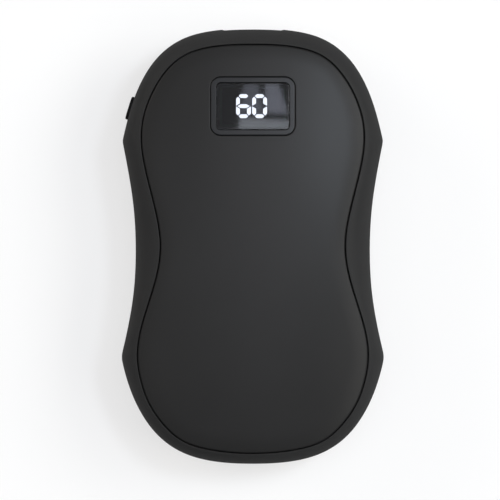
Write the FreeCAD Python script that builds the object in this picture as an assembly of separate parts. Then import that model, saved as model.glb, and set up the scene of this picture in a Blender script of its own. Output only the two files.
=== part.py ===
"""Rechargeable hand warmer: a pebble-shaped hourglass body that lies on its back.

A moulded rim frame is closed by two domed panels that snap onto it. The front panel carries the
digit display. Inside are two pouch cells in a frame, a heater film on a metal spreader behind each
panel, and the main board with the charging port and the switch of the side button.

Seen from the front, +X is right and +Y points to the charging port. +Z points out of the display.
The model is drawn about the middle plane of the body and moved up at the end, so that the flat foot
of the rear panel lies at Z = 0. All sizes are in millimetres.
"""

import FreeCAD
import Part
import math
import os
from FreeCAD import Vector

# Outline of the body, seen from the front
body_length = 104.7
upper_wing_width = 62.9
lower_wing_width = 63.5
waist_width = 56.5
upper_wing_drop = 27.16
lower_wing_rise = 25.85
waist_shift = -0.3
# Points of the rounded ends, from the axis to a wing: (share of the half width, share of the height)
upper_end_shares = [(0.318, 0.978), (0.540, 0.907), (0.715, 0.763), (0.842, 0.558), (0.937, 0.287)]
lower_end_shares = [(0.315, 0.974), (0.535, 0.895), (0.709, 0.750), (0.835, 0.554), (0.929, 0.314)]
# Points of the flanks, from a wing to the waist: (share of the flare, share of the way)
upper_flank_shares = [(0.575, 0.730), (0.169, 0.400)]
lower_flank_shares = [(0.554, 0.736), (0.147, 0.398)]

# Seam between rim and panels, inside the outline by the width of the rim
top_rim = 3.9
bottom_rim = 2.55
upper_wing_rim = 4.5
lower_wing_rim = 3.85
waist_rim = 5.87
upper_seam_shares = [(0.373, 0.974), (0.635, 0.872), (0.821, 0.658), (0.932, 0.421), (0.986, 0.215)]
lower_seam_shares = [(0.360, 0.964), (0.612, 0.868), (0.799, 0.665), (0.900, 0.480), (0.968, 0.255)]
upper_waist_shares = [(0.762, 0.718), (0.351, 0.431)]
lower_waist_shares = [(0.885, 0.774), (0.655, 0.591), (0.260, 0.318)]

# Thickness of the body and its two domed faces
body_thickness = 27.0
foot_depth = 0.6
dome_radius_across = 120.0
dome_radius_along = 380.0
rim_bulge_share = 0.66
rim_overlap = 0.5

# Walls of the housing
rim_wall = 2.2
panel_wall = 1.8
skirt_wall = 1.6
seam_gap = 0.35
panel_edge_radius = 0.3
skirt_height = 2.4
shelf_thickness = 1.6
shelf_width = 1.5
hook_width = 4.0
hook_wall = 1.0
hook_barb = 0.5
hook_barb_height = 1.0
hook_root = 1.5
hook_clearance = 0.15
hook_shares = [0.17, 0.52, 0.84]

# Display
window_drop = 18.89
bezel_band = 1.35
bezel_corner = 2.5
bezel_gap = 0.12
bezel_glue = 0.05
bezel_flange = 1.2
bezel_depth = 3.4
lens_width = 17.6
lens_height = 11.35
lens_corner = 0.8
lens_gap = 0.06
lens_ledge = 0.8
lens_recess = 0.5
lens_thickness = 1.2
digit_height = 5.75
digit_width = 3.55
digit_pitch = 3.87
digit_stroke = 0.92
digit_slit = 0.17
digit_depth = 0.6
digit_shift_x = -0.3
digit_block_gap = 0.65
digit_clearance = 0.3

# Charging port
port_recess_width = 14.8
port_recess_height = 8.0
port_recess_depth = 0.31
port_recess_ramp = 0.8
port_floor_radius = 125.0
usb_width = 8.94
usb_height = 3.16
usb_length = 7.4
usb_wall = 0.25
usb_setback = 0.6
usb_clearance = 0.12
usb_back = 2.2
usb_foot = 0.8
tongue_width = 6.7
tongue_thickness = 0.7
tongue_length = 4.5
contact_width = 0.25
contact_pitch = 0.5
contact_thickness = 0.05
contact_length = 3.4
contact_count = 12

# Side button and its switch, measured inwards from the outline
button_drop = 19.26
button_length = 5.7
button_height = 3.0
button_proud = 0.65
button_edge_radius = 0.3
button_gap = 0.12
button_stop = 2.05
button_stop_gap = 0.05
button_flange = 0.8
button_flange_wall = 0.8
button_post = 2.0
button_post_length = 0.75
button_travel = 0.3
switch_length = 6.0
switch_depth = 3.6
plunger_length = 2.4
plunger_height = 1.5
plunger_proud = 0.65
plunger_seat = 0.5
plunger_gap = 0.1

# Main board and what stands on it
board_thickness = 1.2
board_clearance = 1.6
board_frame_gap = 1.2
coil_size = 6.2
coil_height = 4.2
coil_corner = 1.2
chip_size = 5.0
chip_height = 0.9
capacitor_length = 2.0
capacitor_width = 1.25
capacitor_pitch = 2.4
capacitor_count = 5
part_spacing = 9.0

# Screws and the bosses that take them
boss_diameter = 4.4
boss_length = 4.4
boss_web = 1.4
screw_diameter = 1.9
screw_hole_gap = 0.05
screw_pass_gap = 0.2
screw_length = 3.6
screw_head = 3.6
screw_head_height = 1.2
board_screw_inset = 8.4
board_screw_x = 14.0
lug_x = 15.3
lug_rise = 2.6

# Cells, frame and protection board
cell_side_room = 12.25
cell_top_drop = 38.16
cell_bottom_rise = 12.85
cell_edge_radius = 1.4
cell_tape = 0.3
cell_tape_inset = 3.0
frame_clearance = 0.3
frame_wall = 1.2
frame_height = 8.8
ear_reach = 3.4
ear_drop = 5.0
foot_ear_x = 9.0
ear_thickness = 2.0
guard_length = 2.6
guard_width = 26.0
guard_thickness = 0.6
guard_gap = 0.2
tab_width = 3.0
tab_thickness = 0.2
tab_height = 3.2
tab_x = 6.0
lead_x = 10.0
lead_gap = 0.08
lead_reach = 2.6
lead_notch_gap = 0.4

# Heaters
spreader_thickness = 0.5
spreader_inset = 4.2
heater_thickness = 0.2
heater_inset = 5.0
heater_window_gap = 1.6
foam_inset = 1.0
foam_thickness = 1.2
wire_diameter = 1.0
wire_bend = 3.0
wire_start = 1.2
wire_x = 3.0
wire_landing = 2.0
sensor_x = 9.0
sensor_diameter = 2.2
sensor_length = 3.2
sensor_wire = 0.6

# How finely the curves are followed
end_stations = 16
flank_stations = 8
seam_samples = 72

# Sizes that follow from the values above
dome_height = (body_thickness + foot_depth) / 2
middle_z = body_thickness - dome_height
crown_y = body_length / 2 + port_recess_depth
tail_y = -body_length / 2
far = body_length
upper_wing_y = crown_y - upper_wing_drop
lower_wing_y = tail_y + lower_wing_rise
waist_y = (upper_wing_y + lower_wing_y) / 2 + waist_shift
window_y = crown_y - window_drop
button_y = crown_y - button_drop
bezel_width = lens_width + 2 * bezel_band
bezel_height = lens_height + 2 * bezel_band
digit_block_width = lens_width - 2 * (lens_ledge + digit_block_gap)
digit_block_height = lens_height - 2 * (lens_ledge + digit_block_gap)
board_under = usb_height / 2
board_top = board_under + board_thickness
cell_top_y = crown_y - cell_top_drop
cell_low_y = tail_y + cell_bottom_rise
cell_width = waist_width - 2 * cell_side_room
cell_length = cell_top_y - cell_low_y
cell_y = (cell_top_y + cell_low_y) / 2
frame_inner_width = cell_width + 2 * frame_clearance
frame_outer_width = frame_inner_width + 2 * frame_wall
frame_inner_low = cell_low_y - frame_clearance
frame_inner_high = cell_top_y + guard_gap + guard_length + frame_clearance
board_low_y = frame_inner_high + frame_wall + board_frame_gap
heater_edge_y = window_y - bezel_height / 2 - bezel_flange - heater_window_gap
heater_depth = panel_wall + spreader_thickness
film_depth = heater_depth + heater_thickness
window_tilt = math.degrees(math.asin(window_y / dome_radius_along))


def dome_z(x, y):
    """Height of the front dome above the middle plane."""
    drop = dome_radius_along - math.sqrt(dome_radius_along ** 2 - y ** 2)
    radius = dome_radius_across - drop
    return dome_height - dome_radius_across + math.sqrt(radius ** 2 - x ** 2)


lowest_film_z = dome_z(cell_width / 2, cell_low_y) - film_depth
cell_thickness = lowest_film_z - foam_thickness - cell_tape / 2


def spline(points, closed=False):
    """A smooth curve through points."""
    curve = Part.BSplineCurve()
    curve.interpolate(points, PeriodicFlag=closed)
    return curve


def mirrored(points):
    """The same points on the other side of the axis."""
    return [Vector(-point.x, point.y, point.z) for point in points]


def rounded_end(half_width, wing_y, tip_y, shares):
    """Points of a rounded end, from the left wing over the axis to the right wing."""
    right = [Vector(half_width * across, wing_y + (tip_y - wing_y) * up) for across, up in shares]
    right.append(Vector(half_width, wing_y))
    return mirrored(right)[::-1] + [Vector(0, tip_y)] + right


def flank(half_waist, middle_y, wings, share_tables):
    """Points of the right flank, from the upper wing through the waist to the lower wing."""
    halves = []
    for (half_width, wing_y), shares in zip(wings, share_tables):
        flare = half_width - half_waist
        way = wing_y - middle_y
        points = [Vector(half_waist + flare * out, middle_y + way * along) for out, along in shares]
        halves.append([Vector(half_width, wing_y)] + points)
    return halves[0] + [Vector(half_waist, middle_y)] + halves[1][::-1]


def loop_stretches(half_widths, ys, tables):
    """Four lists of points, clockwise round the body from the left upper wing."""
    half_upper, half_waist, half_lower = half_widths
    top_y, upper_y, middle_y, lower_y, bottom_y = ys
    wings = [(half_upper, upper_y), (half_lower, lower_y)]
    top = rounded_end(half_upper, upper_y, top_y, tables[0])
    right = flank(half_waist, middle_y, wings, tables[1:3])
    bottom = rounded_end(half_lower, lower_y, bottom_y, tables[3])
    return [top, right, bottom[::-1], mirrored(right)[::-1]]


outline_stretches = loop_stretches(
    (upper_wing_width / 2, waist_width / 2, lower_wing_width / 2),
    (crown_y, upper_wing_y, waist_y, lower_wing_y, tail_y),
    (upper_end_shares, upper_flank_shares, lower_flank_shares, lower_end_shares))
seam_stretches = loop_stretches(
    (upper_wing_width / 2 - upper_wing_rim, waist_width / 2 - waist_rim,
     lower_wing_width / 2 - lower_wing_rim),
    (crown_y - top_rim, upper_wing_y, waist_y, lower_wing_y, tail_y + bottom_rim),
    (upper_seam_shares, upper_waist_shares, lower_waist_shares, lower_seam_shares))
outline_curves = [spline(points) for points in outline_stretches]
seam_curve = spline([point for points in seam_stretches for point in points[:-1]], closed=True)


def part_of_seam(start, end):
    """The edge of the seam from one of its points to another, clockwise."""
    low = seam_curve.parameter(start)
    high = seam_curve.parameter(end)
    if high <= low:
        high = seam_curve.LastParameter
    return Part.Edge(seam_curve, low, high)


def matched_stations():
    """Pairs of outline point and seam point, one list for each stretch."""
    counts = [end_stations, flank_stations, end_stations, flank_stations]
    stretches = []
    for curve, points, count in zip(outline_curves, seam_stretches, counts):
        outer = curve.toShape().discretize(Number=count + 1)
        inner = part_of_seam(points[0], points[-1]).discretize(Number=count + 1)
        stretches.append(list(zip(outer, inner)))
    return stretches


stations = matched_stations()
seam_heights = [dome_z(seam.x, seam.y) for stretch in stations for outer, seam in stretch]
shelf_height = min(seam_heights) - skirt_height
shelf_under = shelf_height - shelf_thickness


def closed_wire(points):
    """A smooth closed outline through points."""
    return Part.Wire([spline(points, closed=True).toShape()])


def seam_outline(inset):
    """The seam, moved towards the middle by an inset."""
    points = []
    for spot in seam_curve.toShape().discretize(Number=seam_samples + 1)[:-1]:
        along = seam_curve.tangent(seam_curve.parameter(spot))[0]
        points.append(spot + Vector(along.y, -along.x) * inset)
    return closed_wire(points)


def wall_outline(depth):
    """The outline of the body, moved towards the seam by a depth."""
    points = []
    for stretch in stations:
        for outer, inner in stretch[:-1]:
            points.append(outer + (inner - outer).normalize() * depth)
    return closed_wire(points)


def prism(wire, low, high):
    """A flat outline pulled up from one height to another."""
    face = Part.Face(wire)
    face.translate(Vector(0, 0, low))
    return face.extrude(Vector(0, 0, high - low))


def box(size, centre_x, centre_y, low):
    """A block that stands at a height, centred on a place."""
    width, length, height = size
    return Part.makeBox(width, length, height, Vector(centre_x - width / 2, centre_y - length / 2, low))


def rod(diameter, x, y, low, high):
    """An upright cylinder."""
    return Part.makeCylinder(diameter / 2, high - low, Vector(x, y, low))


def rounded_plate(width, height, corner, low, high):
    """A plate with rounded corners, centred on the origin."""
    plate = box((width, height, high - low), 0, 0, low)
    upright = [edge for edge in plate.Edges if abs(edge.tangentAt(edge.FirstParameter).z) > 0.5]
    return plate.makeFillet(corner, upright)


def pill_wire(length, height, y):
    """A level slot outline in the plane of one Y, with round ends."""
    straight = (length - height) / 2
    radius = height / 2
    low_left, low_right = Vector(-straight, y, -radius), Vector(straight, y, -radius)
    high_left, high_right = Vector(-straight, y, radius), Vector(straight, y, radius)
    right = Part.Arc(low_right, Vector(straight + radius, y, 0), high_right).toShape()
    left = Part.Arc(high_left, Vector(-straight - radius, y, 0), low_left).toShape()
    return Part.Wire([Part.makeLine(low_left, low_right), right, Part.makeLine(high_right, high_left), left])


def pill(length, height, low_y, high_y):
    """A level bar with round sides, along Y."""
    return Part.Face(pill_wire(length, height, low_y)).extrude(Vector(0, high_y - low_y, 0))


def under_dome(depth):
    """Everything below the front dome, sunk by a depth: a long arc turned about a level axis."""
    top = dome_height - depth
    radius = dome_radius_along - depth
    end_z = top - radius + math.sqrt(radius ** 2 - far ** 2)
    axis = Vector(0, 0, dome_height - dome_radius_across)
    arc = Part.Arc(Vector(0, -far, end_z), Vector(0, 0, top), Vector(0, far, end_z)).toShape()
    floor_z = end_z - dome_height
    places = [(far, end_z), (far, floor_z), (-far, floor_z), (-far, end_z)]
    corners = [Vector(0, y, z) for y, z in places]
    sides = [Part.makeLine(start, end) for start, end in zip(corners, corners[1:])]
    face = Part.Face(Part.Wire([arc] + sides))
    swing = math.degrees(math.asin(lower_wing_width / dome_radius_across))
    face.rotate(axis, Vector(0, 1, 0), -swing)
    return face.revolve(axis, Vector(0, 1, 0), 2 * swing)


def rear(shape):
    """The mirror image of a front piece, on the rear side."""
    return shape.mirror(Vector(0, 0, 0), Vector(0, 0, 1))


def rim_section(outer, seam):
    """Cross-section of the rim: a curve on the front, its mirror image behind, a square inner side."""
    inward = (seam - outer).normalize()
    inner = seam + inward * rim_overlap
    deep = inner + inward * shelf_width
    handle = (inner - outer).Length * rim_bulge_share
    top = dome_z(inner.x, inner.y)
    fall = (dome_z(seam.x, seam.y) - top) / rim_overlap
    poles = [inner + Vector(0, 0, top), inner - inward * handle + Vector(0, 0, top + fall * handle),
             outer + Vector(0, 0, top * rim_bulge_share), outer]
    front = Part.BezierCurve()
    front.setPoles(poles)
    back = Part.BezierCurve()
    back.setPoles([Vector(pole.x, pole.y, -pole.z) for pole in poles[::-1]])
    rise = Vector(0, 0, top)
    inside = Part.makePolygon([inner - rise, deep - rise, deep + rise, inner + rise])
    return Part.Wire([front.toShape(), back.toShape()] + inside.Edges)


def rim_ring():
    """The rounded outer ring, lofted from wing to wing."""
    lofts = []
    for stretch in stations:
        lofts.append(Part.makeLoft([rim_section(outer, seam) for outer, seam in stretch], True))
    return lofts[0].multiFuse(lofts[1:])


def seam_place(share):
    """Place and inward direction on the right half of the seam, at a share of its way down."""
    top = seam_stretches[0][len(seam_stretches[0]) // 2]
    bottom = seam_stretches[2][len(seam_stretches[2]) // 2]
    half = part_of_seam(top, bottom)
    spot = half.getParameterByLength(share * half.Length)
    along = half.tangentAt(spot)
    return half.valueAt(spot), Vector(along.y, -along.x)


def snap_hook(share, side):
    """A springy arm below the skirt of the front panel, with a barb that catches under the shelf."""
    place, inward = seam_place(share)
    start = shelf_width + hook_clearance
    barb_z = shelf_under - hook_clearance
    tip_z = barb_z - hook_barb_height
    root_z = shelf_height + hook_root
    end = start + hook_wall
    corners = [(start, tip_z), (end, tip_z), (end, root_z), (start, root_z), (start, barb_z),
               (start - hook_barb, barb_z), (start, tip_z)]
    wire = Part.makePolygon([place + inward * depth + Vector(0, 0, z) for depth, z in corners])
    across = Vector(-inward.y, inward.x) * hook_width
    hook = Part.Face(wire).extrude(across)
    hook.translate(across * -0.5)
    if side < 0:
        hook = hook.mirror(Vector(0, 0, 0), Vector(1, 0, 0))
    return hook


def panel_blank():
    """The front panel without its window: a dome with a skirt that stands on the shelf of the rim."""
    outside = prism(seam_outline(seam_gap), shelf_height, far).common(under_dome(0))
    hollow = prism(seam_outline(seam_gap + skirt_wall), 0, far).common(under_dome(panel_wall))
    shell = outside.cut(hollow)
    high_edges = [edge for edge in shell.Edges if edge.BoundBox.ZMin > shelf_height]
    crown_edge = max(high_edges, key=lambda edge: edge.Length)
    hooks = [snap_hook(share, side) for share in hook_shares for side in (-1, 1)]
    return shell.makeFillet(panel_edge_radius, [crown_edge]).multiFuse(hooks)


def tilted(shape):
    """A display piece, set on the dome at the window and square to it."""
    shape.rotate(Vector(0, 0, 0), Vector(1, 0, 0), -window_tilt)
    shape.translate(Vector(0, window_y, dome_z(0, window_y)))
    return shape


def front_panel(blank):
    """The front panel with the window for the display."""
    window = rounded_plate(bezel_width + 2 * bezel_gap, bezel_height + 2 * bezel_gap,
                           bezel_corner + bezel_gap, -2 * bezel_depth, bezel_depth)
    return blank.cut(tilted(window))


def rear_panel(blank):
    """The rear panel: the same dome, with a flat foot."""
    ground = Part.makeBox(2 * far, 2 * far, far, Vector(-far, -far, -middle_z - far))
    return rear(blank).cut(ground)


def display_bezel():
    """The frame round the lens: flush with the panel, with a flange behind it and a ledge for the lens."""
    frame = tilted(rounded_plate(bezel_width, bezel_height, bezel_corner, -bezel_depth, bezel_depth))
    flange = tilted(rounded_plate(bezel_width + 2 * bezel_flange, bezel_height + 2 * bezel_flange,
                                  bezel_corner + bezel_flange, -bezel_depth, bezel_depth))
    body = frame.common(under_dome(0)).fuse(flange.common(under_dome(panel_wall + bezel_glue)))
    pocket = rounded_plate(lens_width + 2 * lens_gap, lens_height + 2 * lens_gap, lens_corner + lens_gap,
                           -lens_recess - lens_thickness, bezel_depth)
    opening = rounded_plate(lens_width - 2 * lens_ledge, lens_height - 2 * lens_ledge, lens_corner,
                            -2 * bezel_depth, bezel_depth)
    return body.cut(tilted(pocket)).cut(tilted(opening))


def display_lens():
    """The flat smoked lens, a little below the face of the frame."""
    return tilted(rounded_plate(lens_width, lens_height, lens_corner,
                                -lens_recess - lens_thickness, -lens_recess))


def digit_top():
    """Height of the face of the digit block, just clear of the lens."""
    lean = math.tan(math.radians(window_tilt)) * digit_block_height / 2
    return dome_z(0, window_y) - lens_recess - lens_thickness - lean - digit_clearance


def bar_outlines():
    """Corners of the seven bars of a digit, about the middle of the digit."""
    half_w = digit_width / 2
    half_h = digit_height / 2
    stroke = digit_stroke
    half = digit_stroke / 2
    slit = digit_slit
    upright = [(half_w - stroke, half + slit), (half_w, slit / 2), (half_w, half_h - stroke - slit),
               (half_w - half, half_h - half - slit), (half_w - stroke, half_h - stroke - slit)]
    tip = half_w - half - slit
    flat = tip - half
    level = [(tip, half_h - half), (flat, half_h), (-flat, half_h),
             (-tip, half_h - half), (-flat, half_h - stroke), (flat, half_h - stroke)]
    middle = [(x, y - half_h + half) for x, y in level]
    return {"top": level, "bottom": [(x, -y) for x, y in level], "middle": middle,
            "right_up": upright, "right_down": [(x, -y) for x, y in upright],
            "left_up": [(-x, y) for x, y in upright], "left_down": [(-x, -y) for x, y in upright]}


def digit_bars(dark_bars, lit):
    """The bars of both digits that are lit, or those that are off."""
    bars = []
    for index, dark in enumerate(dark_bars):
        centre_x = digit_shift_x + (index - 0.5) * digit_pitch
        for name, corners in bar_outlines().items():
            if (name in dark) != lit:
                points = [Vector(centre_x + x, window_y + y, digit_top() - digit_depth) for x, y in corners]
                face = Part.Face(Part.makePolygon(points + points[:1]))
                bars.append(face.extrude(Vector(0, 0, digit_depth)))
    return Part.makeCompound(bars)


dark_bars = [("right_up",), ("middle",)]
lit_segments = digit_bars(dark_bars, True)
unlit_segments = digit_bars(dark_bars, False)
digit_block = box((digit_block_width, digit_block_height, digit_top() - board_top), 0, window_y, board_top)
digit_block = digit_block.cut(lit_segments).cut(unlit_segments)


# The port: everything below is placed from the mouth of the socket
usb_mouth_y = body_length / 2 - usb_setback
usb_end_y = usb_mouth_y - usb_length
usb_inner_width = usb_width - 2 * usb_wall
usb_inner_height = usb_height - 2 * usb_wall


def usb_shell():
    """The drawn metal shell of the socket, with four feet on the board."""
    shell = pill(usb_width, usb_height, usb_end_y, usb_mouth_y)
    shell = shell.cut(pill(usb_inner_width, usb_inner_height, usb_end_y, usb_mouth_y))
    feet = []
    for side in (-1, 1):
        for place_y in (usb_end_y + usb_foot, usb_end_y + usb_length / 2):
            reach = usb_height / 2
            feet.append(box((reach, usb_foot, usb_wall), side * (usb_width - reach + usb_foot) / 2,
                            place_y, board_under - usb_wall))
    opening = pill(usb_inner_width, usb_inner_height, usb_end_y, usb_mouth_y)
    return shell.multiFuse([foot.cut(opening) for foot in feet])


def usb_tongue():
    """The plastic back of the socket and the tongue that carries the contacts."""
    back = pill(usb_inner_width, usb_inner_height, usb_end_y, usb_end_y + usb_back)
    tongue = box((tongue_width, tongue_length, tongue_thickness), 0,
                 usb_end_y + usb_back + tongue_length / 2, -tongue_thickness / 2)
    return back.fuse(tongue)


def usb_contacts():
    """Two rows of flat contacts on the tongue."""
    contacts = []
    for index in range(contact_count):
        x = (index - (contact_count - 1) / 2) * contact_pitch
        for low in (tongue_thickness / 2, -tongue_thickness / 2 - contact_thickness):
            contacts.append(box((contact_width, contact_length, contact_thickness), x,
                                usb_end_y + usb_back + contact_length / 2, low))
    return Part.makeCompound(contacts)


def port_cutter():
    """The shallow landing for a plug and the hole for the socket."""
    floor_y = body_length / 2
    mouth = pill_wire(port_recess_width + 2 * port_recess_ramp, port_recess_height + 2 * port_recess_ramp,
                      floor_y + port_recess_depth)
    inner = pill_wire(port_recess_width - 2 * port_recess_ramp, port_recess_height - 2 * port_recess_ramp,
                      floor_y - port_recess_depth)
    landing = Part.makeLoft([inner, mouth], True, True)
    below = Part.makeCylinder(port_floor_radius, 2 * far, Vector(0, floor_y - port_floor_radius, -far))
    hole = pill(usb_width + 2 * usb_clearance, usb_height + 2 * usb_clearance, usb_end_y, crown_y)
    return landing.cut(below).fuse(hole)


# The button: drawn with the outline at Y = 0 and +Y outwards, then set on the left edge
def left_edge_place():
    """Place and outward angle of the left outline at the height of the button."""
    level = Part.makeLine(Vector(-far, button_y), Vector(0, button_y))
    edge = outline_curves[0].toShape()
    spot = edge.distToShape(level)[1][0][0]
    along = edge.tangentAt(edge.Curve.parameter(spot))
    return spot, math.degrees(math.atan2(along.y, along.x))


button_place, button_angle = left_edge_place()
flange_face = -button_stop - button_stop_gap
post_face = flange_face - button_flange_wall
plunger_face = post_face - button_post_length - button_stop_gap
switch_face = plunger_face - plunger_proud


def on_edge(shape):
    """A button or switch piece, set on the left edge of the body."""
    shape.rotate(Vector(0, 0, 0), Vector(0, 0, 1), button_angle)
    shape.translate(button_place)
    return shape


def power_button():
    """The button cap, the flange that keeps it in and the post that pushes the switch."""
    cap = pill(button_length, button_height, post_face, button_proud)
    rim_edges = [edge for edge in cap.Edges if edge.BoundBox.YMin > 0]
    cap = cap.makeFillet(button_edge_radius, rim_edges)
    grown = 2 * button_flange
    flange = pill(button_length + grown, button_height + grown, post_face, flange_face)
    post = Part.makeCylinder(button_post / 2, button_post_length, Vector(0, post_face, 0), Vector(0, -1, 0))
    return on_edge(cap.multiFuse([flange, post]))


def button_cutter():
    """The slot for the button and, behind the wall, the room for its flange."""
    slot = pill(button_length + 2 * button_gap, button_height + 2 * button_gap, -far / 2, far / 2)
    slot = slot.common(box((far, 4 * button_stop, far), 0, 0, -far / 2))
    grown = 2 * (button_flange + button_gap)
    room = pill(button_length + grown, button_height + grown, switch_face, -button_stop)
    return on_edge(slot.fuse(room))


def switch_body():
    """The body of the side switch, with a pocket for its plunger."""
    size = (switch_length, switch_depth, 2 * board_under)
    body = box(size, 0, switch_face - switch_depth / 2, -board_under)
    pocket_depth = plunger_seat + button_travel + plunger_gap
    pocket = box((plunger_length + 2 * plunger_gap, pocket_depth, plunger_height + 2 * plunger_gap), 0,
                 switch_face - pocket_depth / 2, -plunger_height / 2 - plunger_gap)
    return on_edge(body.cut(pocket))


def switch_plunger():
    """The plunger that the post of the button pushes in."""
    length = plunger_proud + plunger_seat
    return on_edge(box((plunger_length, length, plunger_height), 0, plunger_face - length / 2,
                       -plunger_height / 2))


# Screw places: x, y and the direction of the web that ties the boss to what carries it
ear_x = frame_outer_width / 2 + ear_reach
board_spots = []
lug_spots = []
frame_spots = []
for side in (-1, 1):
    board_spots.append((side * board_screw_x, body_length / 2 - board_screw_inset, Vector(0, 1)))
    lug_spots.append((side * lug_x, board_low_y + lug_rise, Vector(0, -1)))
    frame_spots.append((side * ear_x, cell_top_y - ear_drop, Vector(side, 0)))
    frame_spots.append((side * foot_ear_x, frame_inner_low - frame_wall - ear_reach, Vector(0, -1)))


def bar(place, direction, length, width, low, height):
    """A level bar that starts at a place and runs along X or Y."""
    centre = place + direction * length / 2
    size_x = length if direction.x else width
    size_y = length if direction.y else width
    return box((size_x, size_y, height), centre.x, centre.y, low)


def boss(spot, top, limit):
    """A screw boss below a height, with a web that runs on to the edge of a limiting solid."""
    x, y, to_wall = spot
    low = top - boss_length
    web = bar(Vector(x, y), to_wall, far, boss_web, low, boss_length).common(limit)
    hole = rod(screw_diameter + 2 * screw_hole_gap, x, y, low - boss_length, top)
    return rod(boss_diameter, x, y, low, top).fuse(web).cut(hole)


def screws(spots, seat_z):
    """Pan head screws whose heads stand on a face."""
    shapes = []
    for x, y, to_wall in spots:
        shank = rod(screw_diameter, x, y, seat_z - screw_length, seat_z)
        shapes.append(shank.fuse(rod(screw_head, x, y, seat_z, seat_z + screw_head_height)))
    return Part.makeCompound(shapes)


def screw_holes(spots):
    """Clearance holes at the screw places."""
    diameter = screw_diameter + 2 * screw_pass_gap
    return [rod(diameter, x, y, -far / 2, far / 2) for x, y, to_wall in spots]


def rim_frame():
    """The moulded rim: rounded outside, hollow inside, with a shelf for each panel and the bosses."""
    seat = prism(seam_outline(0), shelf_height, far)
    opening = prism(seam_outline(shelf_width), -far, far)
    hollow = prism(wall_outline(rim_wall), -shelf_under, shelf_under)
    ring = rim_ring().cut([seat, rear(seat), opening, hollow])
    inside_wall = prism(wall_outline(rim_wall / 2), -far, far)
    bosses = [boss(spot, board_under, inside_wall) for spot in board_spots]
    bosses += [boss(spot, -ear_thickness / 2, inside_wall) for spot in frame_spots]
    return ring.multiFuse(bosses).cut([port_cutter(), button_cutter()])


def main_board():
    """The board: it fills the upper end of the body, inside the rim."""
    board = prism(wall_outline(rim_wall + board_clearance), board_under, board_top)
    board = board.cut(Part.makeBox(2 * far, far, 2 * far, Vector(-far, board_low_y - far, -far)))
    return board.cut(Part.makeCompound(screw_holes(board_spots + lug_spots)))


def power_coil():
    """The shielded coil of the charging circuit, below the board."""
    coil = box((coil_size, coil_size, coil_height), part_spacing, window_y, board_under - coil_height)
    upright = [edge for edge in coil.Edges if abs(edge.tangentAt(edge.FirstParameter).z) > 0.5]
    return coil.makeFillet(coil_corner, upright)


def control_chips():
    """The charging chip and the control chip, below the board."""
    size = (chip_size, chip_size, chip_height)
    return Part.makeCompound([box(size, x, window_y, board_under - chip_height) for x in (0, -part_spacing)])


def board_capacitors():
    """A row of small capacitors below the board, beside the coil."""
    first_x = part_spacing - (capacitor_count - 1) * capacitor_pitch / 2
    row_y = window_y - coil_size / 2 - capacitor_length
    return Part.makeCompound([box((capacitor_width, capacitor_length, capacitor_width),
                                  first_x + index * capacitor_pitch, row_y, board_under - capacitor_width)
                              for index in range(capacitor_count)])


def pouch_cell():
    """The front cell: a soft pack with rounded edges, beside the tape in the middle plane."""
    cell = box((cell_width, cell_length, cell_thickness), 0, cell_y, cell_tape / 2)
    return cell.makeFillet(cell_edge_radius, cell.Edges)


def cell_frame():
    """The frame round the cells: four screw ears, two lugs for the board, notches for the leads."""
    length = frame_inner_high - frame_inner_low
    centre_y = (frame_inner_high + frame_inner_low) / 2
    frame = box((frame_outer_width, length + 2 * frame_wall, frame_height), 0, centre_y, -frame_height / 2)
    for x, y, to_wall in frame_spots:
        ear = rod(boss_diameter, x, y, -ear_thickness / 2, ear_thickness / 2)
        arm = bar(Vector(x, y), to_wall * -1, ear_reach + frame_wall / 2, boss_diameter,
                  -ear_thickness / 2, ear_thickness)
        frame = frame.multiFuse([ear, arm])
    beyond = Part.makeBox(2 * far, far, 2 * far, Vector(-far, frame_inner_high + frame_wall / 2, -far))
    lugs = [boss(spot, board_under, beyond) for spot in lug_spots]
    inside = box((frame_inner_width, length, frame_height), 0, centre_y, -frame_height / 2)
    notch_width = lead_diameter + 2 * lead_notch_gap
    notches = [box((notch_width, 4 * frame_wall, frame_height), side * lead_x, frame_inner_high,
                   guard_thickness / 2 - lead_notch_gap) for side in (-1, 1)]
    frame = frame.cut(Part.makeCompound([inside] + notches + screw_holes(frame_spots)))
    return frame.multiFuse(lugs)


lead_diameter = board_under - guard_thickness / 2 - lead_gap
guard_y = cell_top_y + guard_gap + guard_length / 2


def battery_leads():
    """Two short leads from the protection board to the main board."""
    length = board_low_y + lead_reach - guard_y
    radius = lead_diameter / 2
    starts = [Vector(side * lead_x, guard_y, guard_thickness / 2 + radius) for side in (-1, 1)]
    return Part.makeCompound([Part.makeCylinder(radius, length, start, Vector(0, 1, 0)) for start in starts])


def cell_tabs():
    """Bent metal tabs from the ends of the cells to the protection board."""
    tabs = []
    low = guard_thickness / 2
    for side in (-1, 1):
        x = side * tab_x
        upright = box((tab_width, tab_thickness, tab_height), x, cell_top_y + tab_thickness / 2, low)
        reach = guard_gap + guard_length / 2
        foot = box((tab_width, reach, tab_thickness), x, cell_top_y + reach / 2, low)
        tab = upright.fuse(foot)
        tabs += [tab, rear(tab)]
    return Part.makeCompound(tabs)


def domed_sheet(inset, depth, thickness):
    """A sheet that follows the front dome inside the seam, below the display."""
    sheet = prism(seam_outline(inset), 0, far).common(under_dome(depth)).cut(under_dome(depth + thickness))
    return sheet.cut(Part.makeBox(2 * far, far, 2 * far, Vector(-far, heater_edge_y, -far)))


def foam_pad():
    """The foam between the heater film and the cell, domed on one side."""
    block = box((cell_width - 2 * foam_inset, cell_length - 2 * foam_inset, far), 0, cell_y,
                cell_tape / 2 + cell_thickness)
    return block.common(under_dome(film_depth))


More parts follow.
